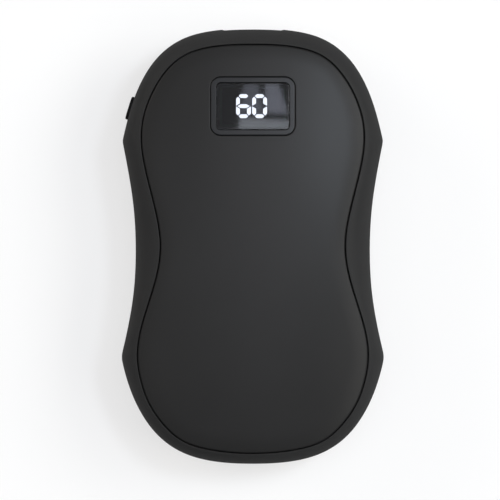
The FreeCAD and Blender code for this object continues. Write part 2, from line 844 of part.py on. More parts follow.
def film_wire(x, diameter, board_z):
    """A wire that leaves the heater film towards the board and bends down onto it."""
    start_y = cell_top_y + wire_start
    end_y = board_low_y + wire_landing
    z = dome_z(x, end_y) - film_depth - diameter / 2
    turn = Vector(x, end_y - wire_bend, z)
    corner = wire_bend * (1 - math.sqrt(0.5))
    middle = Vector(x, end_y - corner, z - corner)
    end = Vector(x, end_y, z - wire_bend)
    path = Part.Wire([Part.makeLine(Vector(x, start_y, z), turn), Part.Arc(turn, middle, end).toShape(),
                      Part.makeLine(end, Vector(x, end_y, board_z))])
    ring = Part.Wire([Part.makeCircle(diameter / 2, Vector(x, start_y, z), Vector(0, 1, 0))])
    return path.makePipeShell([ring], True, False)


def heater_leads(board_z):
    """The two leads of a heater film."""
    return Part.makeCompound([film_wire(side * wire_x, wire_diameter, board_z) for side in (-1, 1)])


def heat_sensor(board_z):
    """A bead on the film that feels its temperature, with its lead."""
    wire = film_wire(sensor_x, sensor_wire, board_z)
    y = cell_top_y + wire_start
    z = dome_z(sensor_x + sensor_diameter / 2, y + sensor_length) - film_depth - sensor_diameter / 2
    bead = Part.makeCylinder(sensor_diameter / 2, sensor_length, Vector(sensor_x, y, z), Vector(0, 1, 0))
    return bead.fuse(wire)


def build():
    """All nodes of the assembly, drawn about the middle plane."""
    front_spreader = domed_sheet(spreader_inset, panel_wall, spreader_thickness)
    front_heater = domed_sheet(heater_inset, heater_depth, heater_thickness)
    front_foam = foam_pad()
    front_cell = pouch_cell()
    blank = panel_blank()
    tape = box((cell_width - 2 * cell_tape_inset, cell_length - 2 * cell_tape_inset, cell_tape), 0, cell_y,
               -cell_tape / 2)
    guard = box((guard_width, guard_length, guard_thickness), 0, guard_y, -guard_thickness / 2)
    return {
        "rim_frame": rim_frame(),
        "front_panel": front_panel(blank),
        "rear_panel": rear_panel(blank),
        "display_bezel": display_bezel(),
        "display_lens": display_lens(),
        "digit_block": digit_block,
        "lit_segments": lit_segments,
        "unlit_segments": unlit_segments,
        "power_button": power_button(),
        "switch_plunger": switch_plunger(),
        "switch_body": switch_body(),
        "usb_shell": usb_shell(),
        "usb_tongue": usb_tongue(),
        "usb_contacts": usb_contacts(),
        "main_board": main_board(),
        "power_coil": power_coil(),
        "control_chips": control_chips(),
        "board_capacitors": board_capacitors(),
        "board_screws": screws(board_spots + lug_spots, board_top),
        "front_cell": front_cell,
        "rear_cell": rear(front_cell),
        "cell_tape": tape,
        "protection_board": guard,
        "cell_tabs": cell_tabs(),
        "cell_frame": cell_frame(),
        "frame_screws": screws(frame_spots, ear_thickness / 2),
        "battery_leads": battery_leads(),
        "front_spreader": front_spreader,
        "rear_spreader": rear(front_spreader),
        "front_heater": front_heater,
        "rear_heater": rear(front_heater),
        "front_foam": front_foam,
        "rear_foam": rear(front_foam),
        "front_heater_leads": heater_leads(board_top),
        "rear_heater_leads": rear(heater_leads(-board_under)),
        "front_sensor": heat_sensor(board_top),
        "rear_sensor": rear(heat_sensor(-board_under)),
    }


os.makedirs("parts", exist_ok=True)
for name, shape in build().items():
    shape.translate(Vector(0, 0, middle_z))
    shape.exportStep(os.path.join("parts", name + ".step"))
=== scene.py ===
# %% [markdown]
# # A rechargeable hand warmer
# The object is a black, pebble-shaped body with an hourglass outline: a moulded rim with four wings,
# a domed panel on each side, a small digit display, a side button and a charging port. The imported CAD
# model is the fixed frame, and everything made here sits where its solids are. The shell is what the
# eye sees, so its pieces are worked out again as fine, smooth surfaces with rounded edges. Their
# lengths are in millimetres, with heights measured from the middle plane of the body.

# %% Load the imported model
import math

import bmesh
import bpy
import numpy as np
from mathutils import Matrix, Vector


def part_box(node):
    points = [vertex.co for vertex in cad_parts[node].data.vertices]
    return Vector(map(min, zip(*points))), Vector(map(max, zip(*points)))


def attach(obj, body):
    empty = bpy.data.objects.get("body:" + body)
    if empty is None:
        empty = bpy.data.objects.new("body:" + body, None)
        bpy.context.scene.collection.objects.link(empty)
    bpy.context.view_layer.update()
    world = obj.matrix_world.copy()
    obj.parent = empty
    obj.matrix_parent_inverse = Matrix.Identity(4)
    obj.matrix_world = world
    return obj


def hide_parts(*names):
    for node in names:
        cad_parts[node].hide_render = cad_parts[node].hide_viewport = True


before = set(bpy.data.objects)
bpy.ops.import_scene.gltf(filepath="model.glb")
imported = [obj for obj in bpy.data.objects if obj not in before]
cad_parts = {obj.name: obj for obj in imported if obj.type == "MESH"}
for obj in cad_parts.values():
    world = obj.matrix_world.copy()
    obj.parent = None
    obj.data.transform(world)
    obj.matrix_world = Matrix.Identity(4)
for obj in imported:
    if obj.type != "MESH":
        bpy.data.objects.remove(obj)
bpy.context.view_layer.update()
MM = 0.001
rim_low, rim_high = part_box("rim_frame")
middle_z = (rim_low.z + rim_high.z) / 2 / MM
print("nodes", len(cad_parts), "middle plane at", round(middle_z, 3), "mm")

# %% [markdown]
# ## Curves and grids
# A moulded shell could be made by hand with subdivision surfaces, but its outline is known exactly, as
# a smooth curve through a few points. So the curves are computed, and each surface is a grid of points
# that is a function of two parameters: one runs round the body, the other across it.


# %% A smooth curve through a few points
def smooth_curve(points, closed=False, span_steps=200):
    """Close-set points of a cubic curve through points, smooth in slope and bend.

    Between two points the curve is a cubic of its end points and end slopes. The slopes solve one
    equation per point: the bend before the point equals the bend after it. An open curve takes its
    end slopes from the cubic through its four outermost points.
    """
    points = np.asarray(points, float)
    count = len(points)
    chord_after = np.roll(points, -1, 0) - points
    chord_before = np.roll(chord_after, 1, 0)
    step_after = np.linalg.norm(chord_after, axis=1)
    step_before = np.roll(step_after, 1)
    index = np.arange(count)
    system = np.zeros((count, count))
    system[index, index] = 2 / step_before + 2 / step_after
    system[index, index - 1] = 1 / step_before
    system[index, (index + 1) % count] = 1 / step_after
    known = 3 * (chord_before / step_before[:, None] ** 2 + chord_after / step_after[:, None] ** 2)
    if not closed:
        place = np.concatenate([[0], np.cumsum(step_after[:-1])])
        for end, four in ((0, slice(0, 4)), (count - 1, slice(-4, None))):
            system[end] = 0
            system[end, end] = 1
            known[end] = np.polyfit(place[four] - place[end], points[four], 3)[-2]
    slopes = np.linalg.solve(system, known)
    spans = index if closed else index[:-1]
    after = (spans + 1) % count
    t = np.linspace(0, 1, span_steps, endpoint=False)[None, :, None]
    start, end = points[spans, None], points[after, None]
    start_slope = (slopes[spans] * step_after[spans, None])[:, None]
    end_slope = (slopes[after] * step_after[spans, None])[:, None]
    curve = ((2 * t ** 3 - 3 * t ** 2 + 1) * start + (t ** 3 - 2 * t ** 2 + t) * start_slope
             + (3 * t ** 2 - 2 * t ** 3) * end + (t ** 3 - t ** 2) * end_slope).reshape(-1, 2)
    return np.concatenate([curve, points[:1] if closed else points[-1:]])


# %% Places along a curve
def run_lengths(curve):
    """How far along the curve each of its points lies."""
    return np.concatenate([[0], np.cumsum(np.linalg.norm(np.diff(curve, axis=0), axis=1))])


def read_off(curve, places, lengths=None):
    """Points at given lengths along a curve, read off between its close-set points."""
    own = run_lengths(curve) if lengths is None else lengths
    return np.stack([np.interp(places, own, curve[:, axis]) for axis in range(curve.shape[1])], -1)


four_points = [(1, 0), (0, 1), (-1, 0), (0, -1)]
print("through four points of a circle", run_lengths(smooth_curve(four_points, closed=True))[-1].round(3))


# %% Faces of a grid
def grid_faces(rows, columns, round_rows=True):
    """Four-cornered faces of a grid whose columns run round, and whose rows may run round too."""
    face_rows = np.arange(rows if round_rows else rows - 1)
    row, column = np.meshgrid(face_rows, np.arange(columns), indexing="ij")
    next_row = (row + 1) % rows
    next_column = (column + 1) % columns
    corners = [(row, column), (row, next_column), (next_row, next_column), (next_row, column)]
    return np.stack([r * columns + c for r, c in corners], -1).reshape(-1, 4)


def cap_faces(ring, middle):
    """Triangles from a closed ring of points to one point in its middle."""
    return np.stack([ring, np.roll(ring, -1), np.full_like(ring, middle)], -1)


def enclosed_volume(points, faces):
    """Six times the volume inside a closed mesh: it is negative where the faces point inwards."""
    total = 0.0
    for face in faces:
        for second in range(1, face.shape[1] - 1):
            a, b, c = (points[face[:, corner]] for corner in (0, second, second + 1))
            total += np.einsum("ij,ij->", a, np.cross(b, c))
    return total


print("a ring of 3 by 8 points has", len(grid_faces(3, 8)), "faces")

# %% A grid of points becomes a piece
SHARP_ANGLE = math.radians(38)


def place_piece(name, mesh, nodes, body):
    """Puts a finished mesh into the scene, with its body and the CAD nodes it stands for."""
    piece = bpy.data.objects.new(name, mesh)
    bpy.context.scene.collection.objects.link(piece)
    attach(piece, body)
    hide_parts(*nodes)
    print(name, len(mesh.vertices), "points", len(mesh.polygons), "faces")
    return piece


def make_piece(name, points, faces, slot, nodes, body="housing"):
    """A smooth closed mesh from points in millimetres about the middle plane, facing outwards."""
    used, order = np.unique(np.concatenate([np.ravel(face) for face in faces]), return_inverse=True)
    points = points[used]
    ends = np.cumsum([np.size(face) for face in faces])[:-1]
    faces = [part.reshape(-1, np.shape(face)[1]) for part, face in zip(np.split(order, ends), faces)]
    if enclosed_volume(points, faces) < 0:
        faces = [face[:, ::-1] for face in faces]
    placed = (points + [0, 0, middle_z]) * MM
    mesh = bpy.data.meshes.new(name)
    mesh.from_pydata(placed.tolist(), [], [corners for face in faces for corners in face.tolist()])
    mesh.shade_smooth()
    mesh.set_sharp_from_angle(angle=SHARP_ANGLE)
    return place_piece(name, mesh, nodes, body)


def make_ring(name, rows, **facts):
    """A ring-shaped piece: rows of points, each of which runs round, and the last joins the first."""
    return make_piece(name, rows.reshape(-1, 3), [grid_faces(*rows.shape[:2])], **facts)


def make_lump(name, rows, first, last, **facts):
    """A solid piece: rows of points that run round, closed by a middle point at each end."""
    count = rows.shape[0] * rows.shape[1]
    points = np.concatenate([rows.reshape(-1, 3), [first, last]])
    ring = np.arange(rows.shape[1])
    ends = np.concatenate([cap_faces(ring[::-1], count), cap_faces(ring + count - len(ring), count + 1)])
    return make_piece(name, points, [grid_faces(*rows.shape[:2], round_rows=False), ends], **facts)


# %% [markdown]
# ## The outline and the seam
# Seen from the front, the outline is four smooth stretches that meet at the wings: the upper end, the
# right flank, the lower end and the left flank. The seam between rim and panel runs inside it. Both
# are repeated from the part's source, by the same few points. The real moulding has no knife-sharp
# wing tips, so here the outline is smoothed by a little, which only shows at the tips.

# %% Points of the outline and the seam
body_length = 104.7
port_recess_depth = 0.31
upper_width, waist_width, lower_width = 62.9, 56.5, 63.5
upper_wing_drop, lower_wing_rise, waist_drop = 27.16, 25.85, 0.3
top_rim, bottom_rim, upper_rim, waist_rim, lower_rim = 3.9, 2.55, 4.5, 5.87, 3.85
crown_y = body_length / 2 + port_recess_depth
tail_y = -body_length / 2
upper_wing_y = crown_y - upper_wing_drop
lower_wing_y = tail_y + lower_wing_rise
waist_y = (upper_wing_y + lower_wing_y) / 2 - waist_drop
upper_half, waist_half, lower_half = upper_width / 2, waist_width / 2, lower_width / 2
# Ends: share of the half width and of the height. Flanks: share of the flare and of the way.
outline_shares = {
    "upper_end": [(0.318, 0.978), (0.540, 0.907), (0.715, 0.763), (0.842, 0.558), (0.937, 0.287)],
    "upper_flank": [(0.575, 0.730), (0.169, 0.400)],
    "lower_flank": [(0.554, 0.736), (0.147, 0.398)],
    "lower_end": [(0.315, 0.974), (0.535, 0.895), (0.709, 0.750), (0.835, 0.554), (0.929, 0.314)]}
seam_shares = {
    "upper_end": [(0.373, 0.974), (0.635, 0.872), (0.821, 0.658), (0.932, 0.421), (0.986, 0.215)],
    "upper_flank": [(0.762, 0.718), (0.351, 0.431)],
    "lower_flank": [(0.885, 0.774), (0.655, 0.591), (0.260, 0.318)],
    "lower_end": [(0.360, 0.964), (0.612, 0.868), (0.799, 0.665), (0.900, 0.480), (0.968, 0.255)]}


def loop_stretches(halves, ys, shares):
    """Four lists of points, clockwise round the body from the left upper wing."""
    upper, waist, lower = halves
    top_y, bottom_y = ys
    flip = np.array([-1, 1])

    def rounded_end(half, wing_y, tip_y, table):
        right = np.array(table + [(1, 0)]) * [half, tip_y - wing_y] + [0, wing_y]
        return np.concatenate([right[::-1] * flip, [(0, tip_y)], right])

    def half_flank(half, wing_y, table):
        return np.array([(1, 1)] + table) * [half - waist, wing_y - waist_y] + [waist, waist_y]

    top = rounded_end(upper, upper_wing_y, top_y, shares["upper_end"])
    bottom = rounded_end(lower, lower_wing_y, bottom_y, shares["lower_end"])
    right = np.concatenate([half_flank(upper, upper_wing_y, shares["upper_flank"]), [(waist, waist_y)],
                            half_flank(lower, lower_wing_y, shares["lower_flank"])[::-1]])
    return [top, right, bottom[::-1], right[::-1] * flip]


outline_stretches = loop_stretches((upper_half, waist_half, lower_half), (crown_y, tail_y), outline_shares)
seam_stretches = loop_stretches((upper_half - upper_rim, waist_half - waist_rim, lower_half - lower_rim),
                                (crown_y - top_rim, tail_y + bottom_rim), seam_shares)
seam_curve = smooth_curve(np.concatenate([points[:-1] for points in seam_stretches]), closed=True)
seam_lengths = run_lengths(seam_curve)
print("seam", round(seam_lengths[-1], 2), "mm round")

# %% Pairs of outline point and seam point
FINE_STEP = 0.05
upper_tip_blur, lower_tip_blur = 0.45, 0.9


def paired_curves():
    """Outline points and the seam points that belong to them, at the same share of each stretch."""
    outer, inner, corner_places = [], [], [0]
    knots = np.cumsum([0] + [len(points) - 1 for points in seam_stretches])
    span_steps = (len(seam_curve) - 1) // knots[-1]
    for index, points in enumerate(outline_stretches):
        curve = smooth_curve(points)
        length = run_lengths(curve)[-1]
        shares = np.arange(round(length / FINE_STEP)) / round(length / FINE_STEP)
        outer.append(read_off(curve, shares * length))
        start, end = seam_lengths[knots[index:index + 2] * span_steps]
        inner.append(read_off(seam_curve, start + shares * (end - start), seam_lengths))
        corner_places.append(corner_places[-1] + length)
    return np.concatenate(outer), np.concatenate(inner), corner_places


def blurred(loop, reach):
    """A closed loop averaged over a bell curve of a given reach, which rounds its corners."""
    step = np.fft.fftfreq(len(loop), FINE_STEP)
    bell = np.exp(-2 * (np.pi * step * reach) ** 2)
    return np.fft.ifft(np.fft.fft(loop, axis=0) * bell[:, None], axis=0).real


outline, seam, corner_places = paired_curves()
# The lower tips are rounder: the blur changes over from the upper wings to the lower ones.
lower_share = np.clip(0.5 - outline[:, 1:] / upper_wing_y, 0, 1)
upper_blurred, lower_blurred = blurred(outline, upper_tip_blur), blurred(outline, lower_tip_blur)
outline = upper_blurred * (1 - lower_share) + lower_blurred * lower_share
round_length = corner_places[-1]
fine_places = np.arange(len(outline)) * round_length / len(outline)
print("outline", round(round_length, 2), "mm round,", len(outline), "points")

# %% [markdown]
# ## The rim
# The rim is one moulding with a rounded outside. Its section is a cubic curve that starts on the dome
# of the panel and ends upright at the middle plane, mirrored behind. A sweep along the outline could
# not change the section on the way, so every column of the grid gets its own section. The seam edge
# is rounded, and a groove wall goes down beside the panel.

# %% The dome and the section of the rim
dome_height = 13.8
dome_radius_across, dome_radius_along = 120.0, 380.0
rim_bulge_share = 0.66
rim_overlap = 0.5


def dome(x, y):
    """Height of the front dome: an arc of the long radius, turned about a level axis along Y."""
    drop = dome_radius_along - np.sqrt(dome_radius_along ** 2 - y ** 2)
    return dome_height - dome_radius_across + np.sqrt((dome_radius_across - drop) ** 2 - x ** 2)


def on_loop(table, places):
    """Values of a table along the outline, at places in millimetres."""
    return np.stack([np.interp(places, fine_places, table[:, axis], period=round_length)
                     for axis in range(table.shape[1])], -1)


def section(places):
    """What the rim's section needs at each place: outline, seam, inward direction, reach and heights."""
    outer, inner = on_loop(outline, places), on_loop(seam, places)
    inward = (inner - outer) / np.linalg.norm(inner - outer, axis=-1, keepdims=True)
    reach = np.linalg.norm(inner - outer, axis=-1) + rim_overlap
    start = inner + inward * rim_overlap
    top = dome(start[..., 0], start[..., 1])
    fall = (dome(inner[..., 0], inner[..., 1]) - top) / rim_overlap
    return outer, inner, inward, reach, top, fall


def section_curve(t, reach, top, fall):
    """The cubic of the section: distance outwards from its start on the dome, and height."""
    rest = 1 - t
    handle = reach * rim_bulge_share
    out = 3 * rest ** 2 * t * handle + (3 * rest * t ** 2 + t ** 3) * reach
    up = (rest ** 3 * top + 3 * rest ** 2 * t * (top + fall * handle)
          + 3 * rest * t ** 2 * top * rim_bulge_share)
    return out, up


print("dome", round(float(dome(0, 0)), 2), "mm above the middle plane")

# %% The start of the rounded seam edge
lip_radius = 0.22
LIP_GUESS, LIP_PROBE, LIP_ROUNDS = 0.2, 1e-4, 8


def lip_start(reach):
    """The section's parameter where the rounded seam edge ends, corrected by its slope a few times."""
    t = np.full_like(reach, LIP_GUESS)
    for _ in range(LIP_ROUNDS):
        out, _up = section_curve(t, reach, 0, 0)
        slope = section_curve(t + LIP_PROBE, reach, 0, 0)[0] - out
        t = t - (out - rim_overlap - lip_radius) / slope * LIP_PROBE
    return t


print("lip", lip_radius, "mm, from", lip_start(np.array([waist_rim + rim_overlap])).round(3), "at the waist")

# %% The outside, with the landing round the charging port
# The landing is taller and squarer than in the part's source. Seen from the front, its ends then step
# down in the outline as they do in the photo.
port_recess_width, port_recess_height, port_recess_corner, port_recess_ramp = 14.8, 10.4, 1.2, 0.8
port_floor_radius = 110.0
port_edge_softness = 0.04


def port_floor(x, z):
    """Level of the landing: a crowned floor, and ramps that rise outwards from a rounded rectangle."""
    across = np.maximum(np.abs(x) - port_recess_width / 2 + port_recess_corner, 0)
    upwards = np.maximum(np.abs(z) - port_recess_height / 2 + port_recess_corner, 0)
    outside = np.hypot(across, upwards) - port_recess_corner
    floor_y = body_length / 2
    floor = floor_y - port_floor_radius + np.sqrt(port_floor_radius ** 2 - x ** 2)
    return np.maximum(floor, floor_y + outside * port_recess_depth / port_recess_ramp)


def rim_skin(places, v):
    """Outside of the rim: v runs from 1 at the front lip over 0 at the middle plane to -1 behind.

    At the port the skin is the lower of the section's curve and the landing, with a soft edge. Away
    from the port the landing's level is set far outside, so that it never counts.
    """
    outer, _inner, inward, reach, top, fall = section(places)
    t = 1 - np.abs(v) * (1 - lip_start(reach))
    out, up = section_curve(t, reach, top, fall)
    flat = outer + inward * (reach - out)[..., None]
    x, y = flat[..., 0], flat[..., 1]
    z = np.sign(v) * up
    at_port = (y > upper_wing_y) & (np.abs(x) < port_recess_width)
    level = np.where(at_port, port_floor(np.clip(x, -port_recess_width, port_recess_width), z), 2 * crown_y)
    lower_y = (y + level - np.hypot(y - level, port_edge_softness)) / 2
    return np.stack([x, np.where(at_port, lower_y, y), z], -1)


print("landing", port_recess_width, "by", port_recess_height, "mm")

# %% The rows of the rim's grid
shelf_drop, shelf_thickness, shelf_width = 2.4, 1.6, 1.5
wall_depth = 1.95
lip_rows = 6
seam_top = dome(seam[:, 0], seam[:, 1])
shelf_z = seam_top.min() - shelf_drop
shelf_under = shelf_z - shelf_thickness


def raised(flat, z):
    """Flat points with a height each."""
    return np.concatenate([flat, np.broadcast_to(z, flat.shape[:-1])[..., None]], -1)


def rim_wall(places, z):
    """The inner face of the rim's wall, upright, at a depth below the outline."""
    outer, _inner, inward = section(places)[:3]
    return raised(outer + inward * wall_depth, z)


def rim_edge(places, side):
    """Rows of the groove wall and the rounded seam edge, from the shelf up to the skin."""
    _outer, inner, inward, reach, top, fall = section(places)
    lip_t = lip_start(reach)
    out, up = section_curve(lip_t, reach, top, fall)
    _out, seam_up = section_curve(lip_t * rim_overlap / (rim_overlap + lip_radius), reach, top, fall)
    share = np.linspace(0, 1, lip_rows, endpoint=False)[:, None]
    across = share ** 2 * (out - rim_overlap)
    height = (1 - share) ** 2 * (seam_up - lip_radius) + 2 * share * (1 - share) * seam_up + share ** 2 * up
    across = np.concatenate([np.zeros((2, len(places))), across])
    base = np.stack([np.full(len(places), shelf_z), seam_up - 3 * lip_radius])
    height = np.concatenate([base, height])
    return raised(inner[None] - inward[None] * across[..., None], side * height)


def shelf_rows(places, side):
    """Rows of the shelf that the panel stands on: its inner edge, above and below."""
    _outer, inner, inward = section(places)[:3]
    flat = inner + inward * shelf_width
    return np.stack([raised(flat, side * z) for z in (shelf_z, shelf_under)])


print("shelf at", round(shelf_z, 2), "mm above the middle plane")

# %% [markdown]
# ## Openings in the rim
# The port and the button go through the rim's wall. A boolean cut would leave ragged faces along the
# edge, which shade badly. So the grid is opened at a block of its faces, and a collar of rings leads
# from the block's edge to the slot, over a small rounding, through the wall and back to the grid.

# %% Slot outlines
DENSE_POINTS = 6000
SAME_POINT = FINE_STEP / 1000


def rounded_rectangle(width, height, corner, corner_steps=10, side_steps=16):
    """A loop of four quarter circles, with evenly spaced points on the straight sides between them."""
    turn = np.linspace(0, np.pi / 2, corner_steps + 1)
    arcs = []
    for quarter, sides in enumerate([(1, 1), (-1, 1), (-1, -1), (1, -1)]):
        middle = np.array(sides) * [width / 2 - corner, height / 2 - corner]
        angle = turn + quarter * np.pi / 2
        arcs.append(middle + corner * np.stack([np.cos(angle), np.sin(angle)], -1))
    share = np.linspace(0, 1, side_steps + 2)[1:-1, None]
    loop = []
    for arc, following in zip(arcs, arcs[1:] + arcs[:1]):
        loop += [arc, arc[-1] * (1 - share) + following[0] * share]
    loop = np.concatenate(loop)
    return loop[np.linalg.norm(loop - np.roll(loop, 1, 0), axis=1) > SAME_POINT]


def on_rays(lengths, angles):
    """Points at given lengths along rays from the middle."""
    return lengths[:, None] * np.stack([np.cos(angles), np.sin(angles)], -1)


def at_angles(loop, angles):
    """The points of a closed loop at given angles about its middle."""
    closed = np.concatenate([loop, loop[:1]])
    dense = read_off(closed, np.linspace(0, run_lengths(closed)[-1], DENSE_POINTS, endpoint=False))
    own = np.arctan2(dense[:, 1], dense[:, 0])
    return on_rays(np.interp(angles, own, np.hypot(dense[:, 0], dense[:, 1]), period=2 * np.pi), angles)


print("a slot outline has", len(rounded_rectangle(4, 2, 1)), "points")

# %% Where the port and the button are
socket_width, socket_height, socket_clearance = 8.94, 3.16, 0.12
button_drop = 19.26
button_length, button_height, button_gap = 5.7, 3.0, 0.12
button_y = crown_y - button_drop
crown_place = fine_places[np.argmin(np.hypot(outline[:, 0], outline[:, 1] - crown_y))]
left_upper = (outline[:, 0] < 0) & (outline[:, 1] > upper_wing_y)
button_index = np.argmin(np.where(left_upper, np.abs(outline[:, 1] - button_y), body_length))
button_place = fine_places[button_index]
button_middle = outline[button_index]
button_run = outline[button_index + 1] - outline[button_index - 1]
button_along = button_run / np.linalg.norm(button_run)
button_outward = np.array([-button_along[1], button_along[0]])
# Each slot: place along the outline, middle, directions along and out of the rim, width and height.
slots = [
    (crown_place, np.array([0, crown_y]), np.array([1.0, 0]), np.array([0, 1.0]),
     (socket_width + 2 * socket_clearance, socket_height + 2 * socket_clearance)),
    (button_place, button_middle, button_along, button_outward,
     (button_length + 2 * button_gap, button_height + 2 * button_gap))]
print("button at", button_middle.round(3), "facing", button_outward.round(4))

# %% Collars round the slots
opening_half_z, opening_rows = 2.6, 20
opening_share = opening_half_z / (dome_height * 3 * rim_bulge_share)
slot_edge_radius, slot_edge_rings = 0.14, 5
collar_rings = 5
FIT_ROUNDS = 30


def solved_places(surface, origin, along, targets, places, seconds, rate):
    """Parameters where a surface meets the targets, seen square to the rim, by repeated correction."""
    for _ in range(FIT_ROUNDS):
        points = surface(places, seconds)
        places = places + targets[:, 0] - (points[:, :2] - origin) @ along
        seconds = seconds + (targets[:, 1] - points[:, 2]) * rate
    return places, seconds


def collar(places, columns, origin, along, outward, slot):
    """Rings of points from the edge of a grid block on the skin to that on the inner wall."""
    c0, c1 = columns
    edge_places = np.concatenate([places[c0:c1], np.full(opening_rows, places[c1]),
                                  places[c1:c0:-1], np.full(opening_rows, places[c0])])
    sweep = np.linspace(0, 1, opening_rows, endpoint=False)
    across = np.zeros(c1 - c0)
    share_down = np.concatenate([across, sweep, across + 1, 1 - sweep])
    v = opening_share * (1 - 2 * share_down)
    edge = rim_skin(edge_places, v)
    angles = np.arctan2(edge[:, 2], (edge[:, :2] - origin) @ along)
    width, height = slot
    rings = []
    for index, angle in enumerate(np.linspace(0, np.pi / 2, slot_edge_rings)):
        grown = slot_edge_radius * (1 - np.sin(angle))
        loop = at_angles(rounded_rectangle(width + 2 * grown, height + 2 * grown, height / 2 + grown), angles)
        on_skin = solved_places(rim_skin, origin, along, loop, edge_places, v, opening_share / opening_half_z)
        if index == 0:
            for share in np.linspace(0, 1, collar_rings + 1)[1:-1]:
                rings.append(rim_skin(edge_places + (on_skin[0] - edge_places) * share,
                                      v + (on_skin[1] - v) * share))
        sunk = slot_edge_radius * (1 - np.cos(angle))
        rings.append(rim_skin(*on_skin) - np.append(outward, 0) * sunk)
    z = opening_half_z * (1 - 2 * share_down)
    on_wall = solved_places(rim_wall, origin, along, loop, edge_places, z, rate=1.0)
    rings.append(rim_wall(*on_wall))
    rings.append(rim_wall((on_wall[0] + edge_places) / 2, (on_wall[1] + z) / 2))
    return np.stack(rings)


print("openings in", opening_rows, "rows,", 2 * opening_half_z, "mm tall")

# %% All rows of the rim
finest_mark, widest_gap = 0.125, 6
tip_zone, port_zone, button_zone, step_zone = 3.0, 9.5, 5.0, 0.9
every_mark, every_second = 1, 2
bend_share, low_rows, high_rows = 0.36, 14, 26


def graded_places(zones):
    """Places along the outline: every sixth mark, and closer in zones where the shape changes quickly."""
    marks = np.arange(0, round_length, finest_mark)
    index = np.arange(len(marks))
    keep = index % widest_gap == 0
    for centre, half, every in zones:
        gap = np.abs((marks - centre + round_length / 2) % round_length - round_length / 2)
        keep |= (gap < half) & (index % every == 0)
    return marks[keep]


def rim_rows():
    """Places round the outline, the rows of the rim's section, and the first rows that may open."""
    zones = [(place, tip_zone, every_second) for place in corner_places[:-1]]
    zones += [(crown_place, port_zone, every_second), (button_place, button_zone, every_second)]
    zones += [(crown_place + side * port_recess_width / 2, step_zone, every_mark) for side in (-1, 1)]
    places = graded_places(zones)
    half_v = np.concatenate([np.linspace(0, opening_share, opening_rows // 2 + 1),
                             np.linspace(opening_share, bend_share, low_rows)[1:],
                             np.linspace(bend_share, 1, high_rows)[1:]])
    skin_v = np.concatenate([half_v[::-1], -half_v[1:]])
    skin = rim_skin(places[None], np.repeat(skin_v[:, None], len(places), 1))
    inside_z = np.linspace(-opening_half_z, opening_half_z, opening_rows + 1)
    wall_z = np.concatenate([[-shelf_under], inside_z, [shelf_under]])
    wall = np.stack([rim_wall(places, z) for z in wall_z])
    parts = [rim_edge(places, 1), skin, rim_edge(places, -1)[::-1],
             shelf_rows(places, -1), wall, shelf_rows(places, 1)[::-1]]
    _edge, skin_start, _rear_edge, _shelf, wall_start = np.cumsum([0] + [len(part) for part in parts])[:5]
    first_skin = skin_start + len(half_v) - 1 - opening_rows // 2
    return places, np.concatenate(parts), first_skin, wall_start + 1


print("columns from", finest_mark, "to", finest_mark * widest_gap, "mm wide")

# %% The whole rim
collar_margin = 0.9


def block_edge(rows, columns, width):
    """Indices round the edge of a block of the grid, clockwise from its first corner."""
    down = np.arange(rows[0], rows[1], 1 if rows[1] > rows[0] else -1)
    across = np.arange(columns[0], columns[1])
    sides = [(np.full(len(across), rows[0]), across), (down, np.full(len(down), columns[1])),
             (np.full(len(across), rows[1]), across[::-1] + 1),
             (down[::-1] + np.sign(rows[1] - rows[0]), np.full(len(down), columns[0]))]
    return np.concatenate([r * width + c for r, c in sides])


def rim():
    """Points and faces of the rim: its closed grid, with a collar in place of a block at each slot."""
    places, rows, first_skin, first_wall = rim_rows()
    faces = grid_faces(*rows.shape[:2])
    keep = np.ones(rows.shape[:2], bool)
    points, extra = [rows.reshape(-1, 3)], []
    for centre, origin, along, outward, slot in slots:
        inside = np.flatnonzero(np.abs(places - centre) < slot[0] / 2 + collar_margin)
        columns = (inside[0], inside[-1])
        for first in (first_skin, first_wall):
            keep[first:first + opening_rows, columns[0]:columns[1]] = False
        rings = collar(places, columns, origin, along, outward, slot)
        start = block_edge((first_skin, first_skin + opening_rows), columns, len(places))
        end = block_edge((first_wall + opening_rows, first_wall), columns, len(places))
        used = sum(len(block) for block in points)
        inner = used + np.arange(rings.shape[0] * rings.shape[1]).reshape(rings.shape[:2])
        chain = np.concatenate([start[None], inner, end[None]])
        a, b = chain[:-1], chain[1:]
        extra.append(np.stack([a, np.roll(a, -1, 1), np.roll(b, -1, 1), b], -1).reshape(-1, 4)[:, ::-1])
        points.append(rings.reshape(-1, 3))
    return np.concatenate(points), [np.concatenate([faces[keep.ravel()]] + extra)]


rim_piece = make_piece("rim_moulding", *rim(), slot="soft_black", nodes=["rim_frame"])

# %% [markdown]
# ## The panels
# Each panel is a thin domed shell with a skirt that stands on the shelf of the rim. Its edge is rounded
# and rolls off a little before the seam, which is what draws the soft shade along the seam. The front
# panel has a window and is a ring: its rows run from the skirt over the dome to the window and back on
# the inside. The rear panel is closed and ends in a flat foot. Modifiers could thicken and bevel a plain
# dome, but only rows that follow the seam keep its edge even all the way round.

# %% Rows that both panels share
# The part's source has a gap of 0.35 mm. It is drawn finer, so that the seam's line reads as in the photo.
seam_gap = 0.24
panel_edge_radius = 0.36
panel_wall, skirt_wall, skirt_lift = 1.8, 1.6, 0.03
roll_width, roll_drop = 4.0, 0.24
roll_start, roll_rows, panel_edge_rows = 0.8, 9, 7
panel_columns = 480
seam_places = np.linspace(0, seam_lengths[-1], panel_columns, endpoint=False)
seam_loop = read_off(seam_curve, seam_places, seam_lengths)
seam_run = np.roll(seam_loop, -1, 0) - np.roll(seam_loop, 1, 0)
seam_run /= np.linalg.norm(seam_run, axis=1, keepdims=True)
seam_inward = np.stack([seam_run[:, 1], -seam_run[:, 0]], -1)


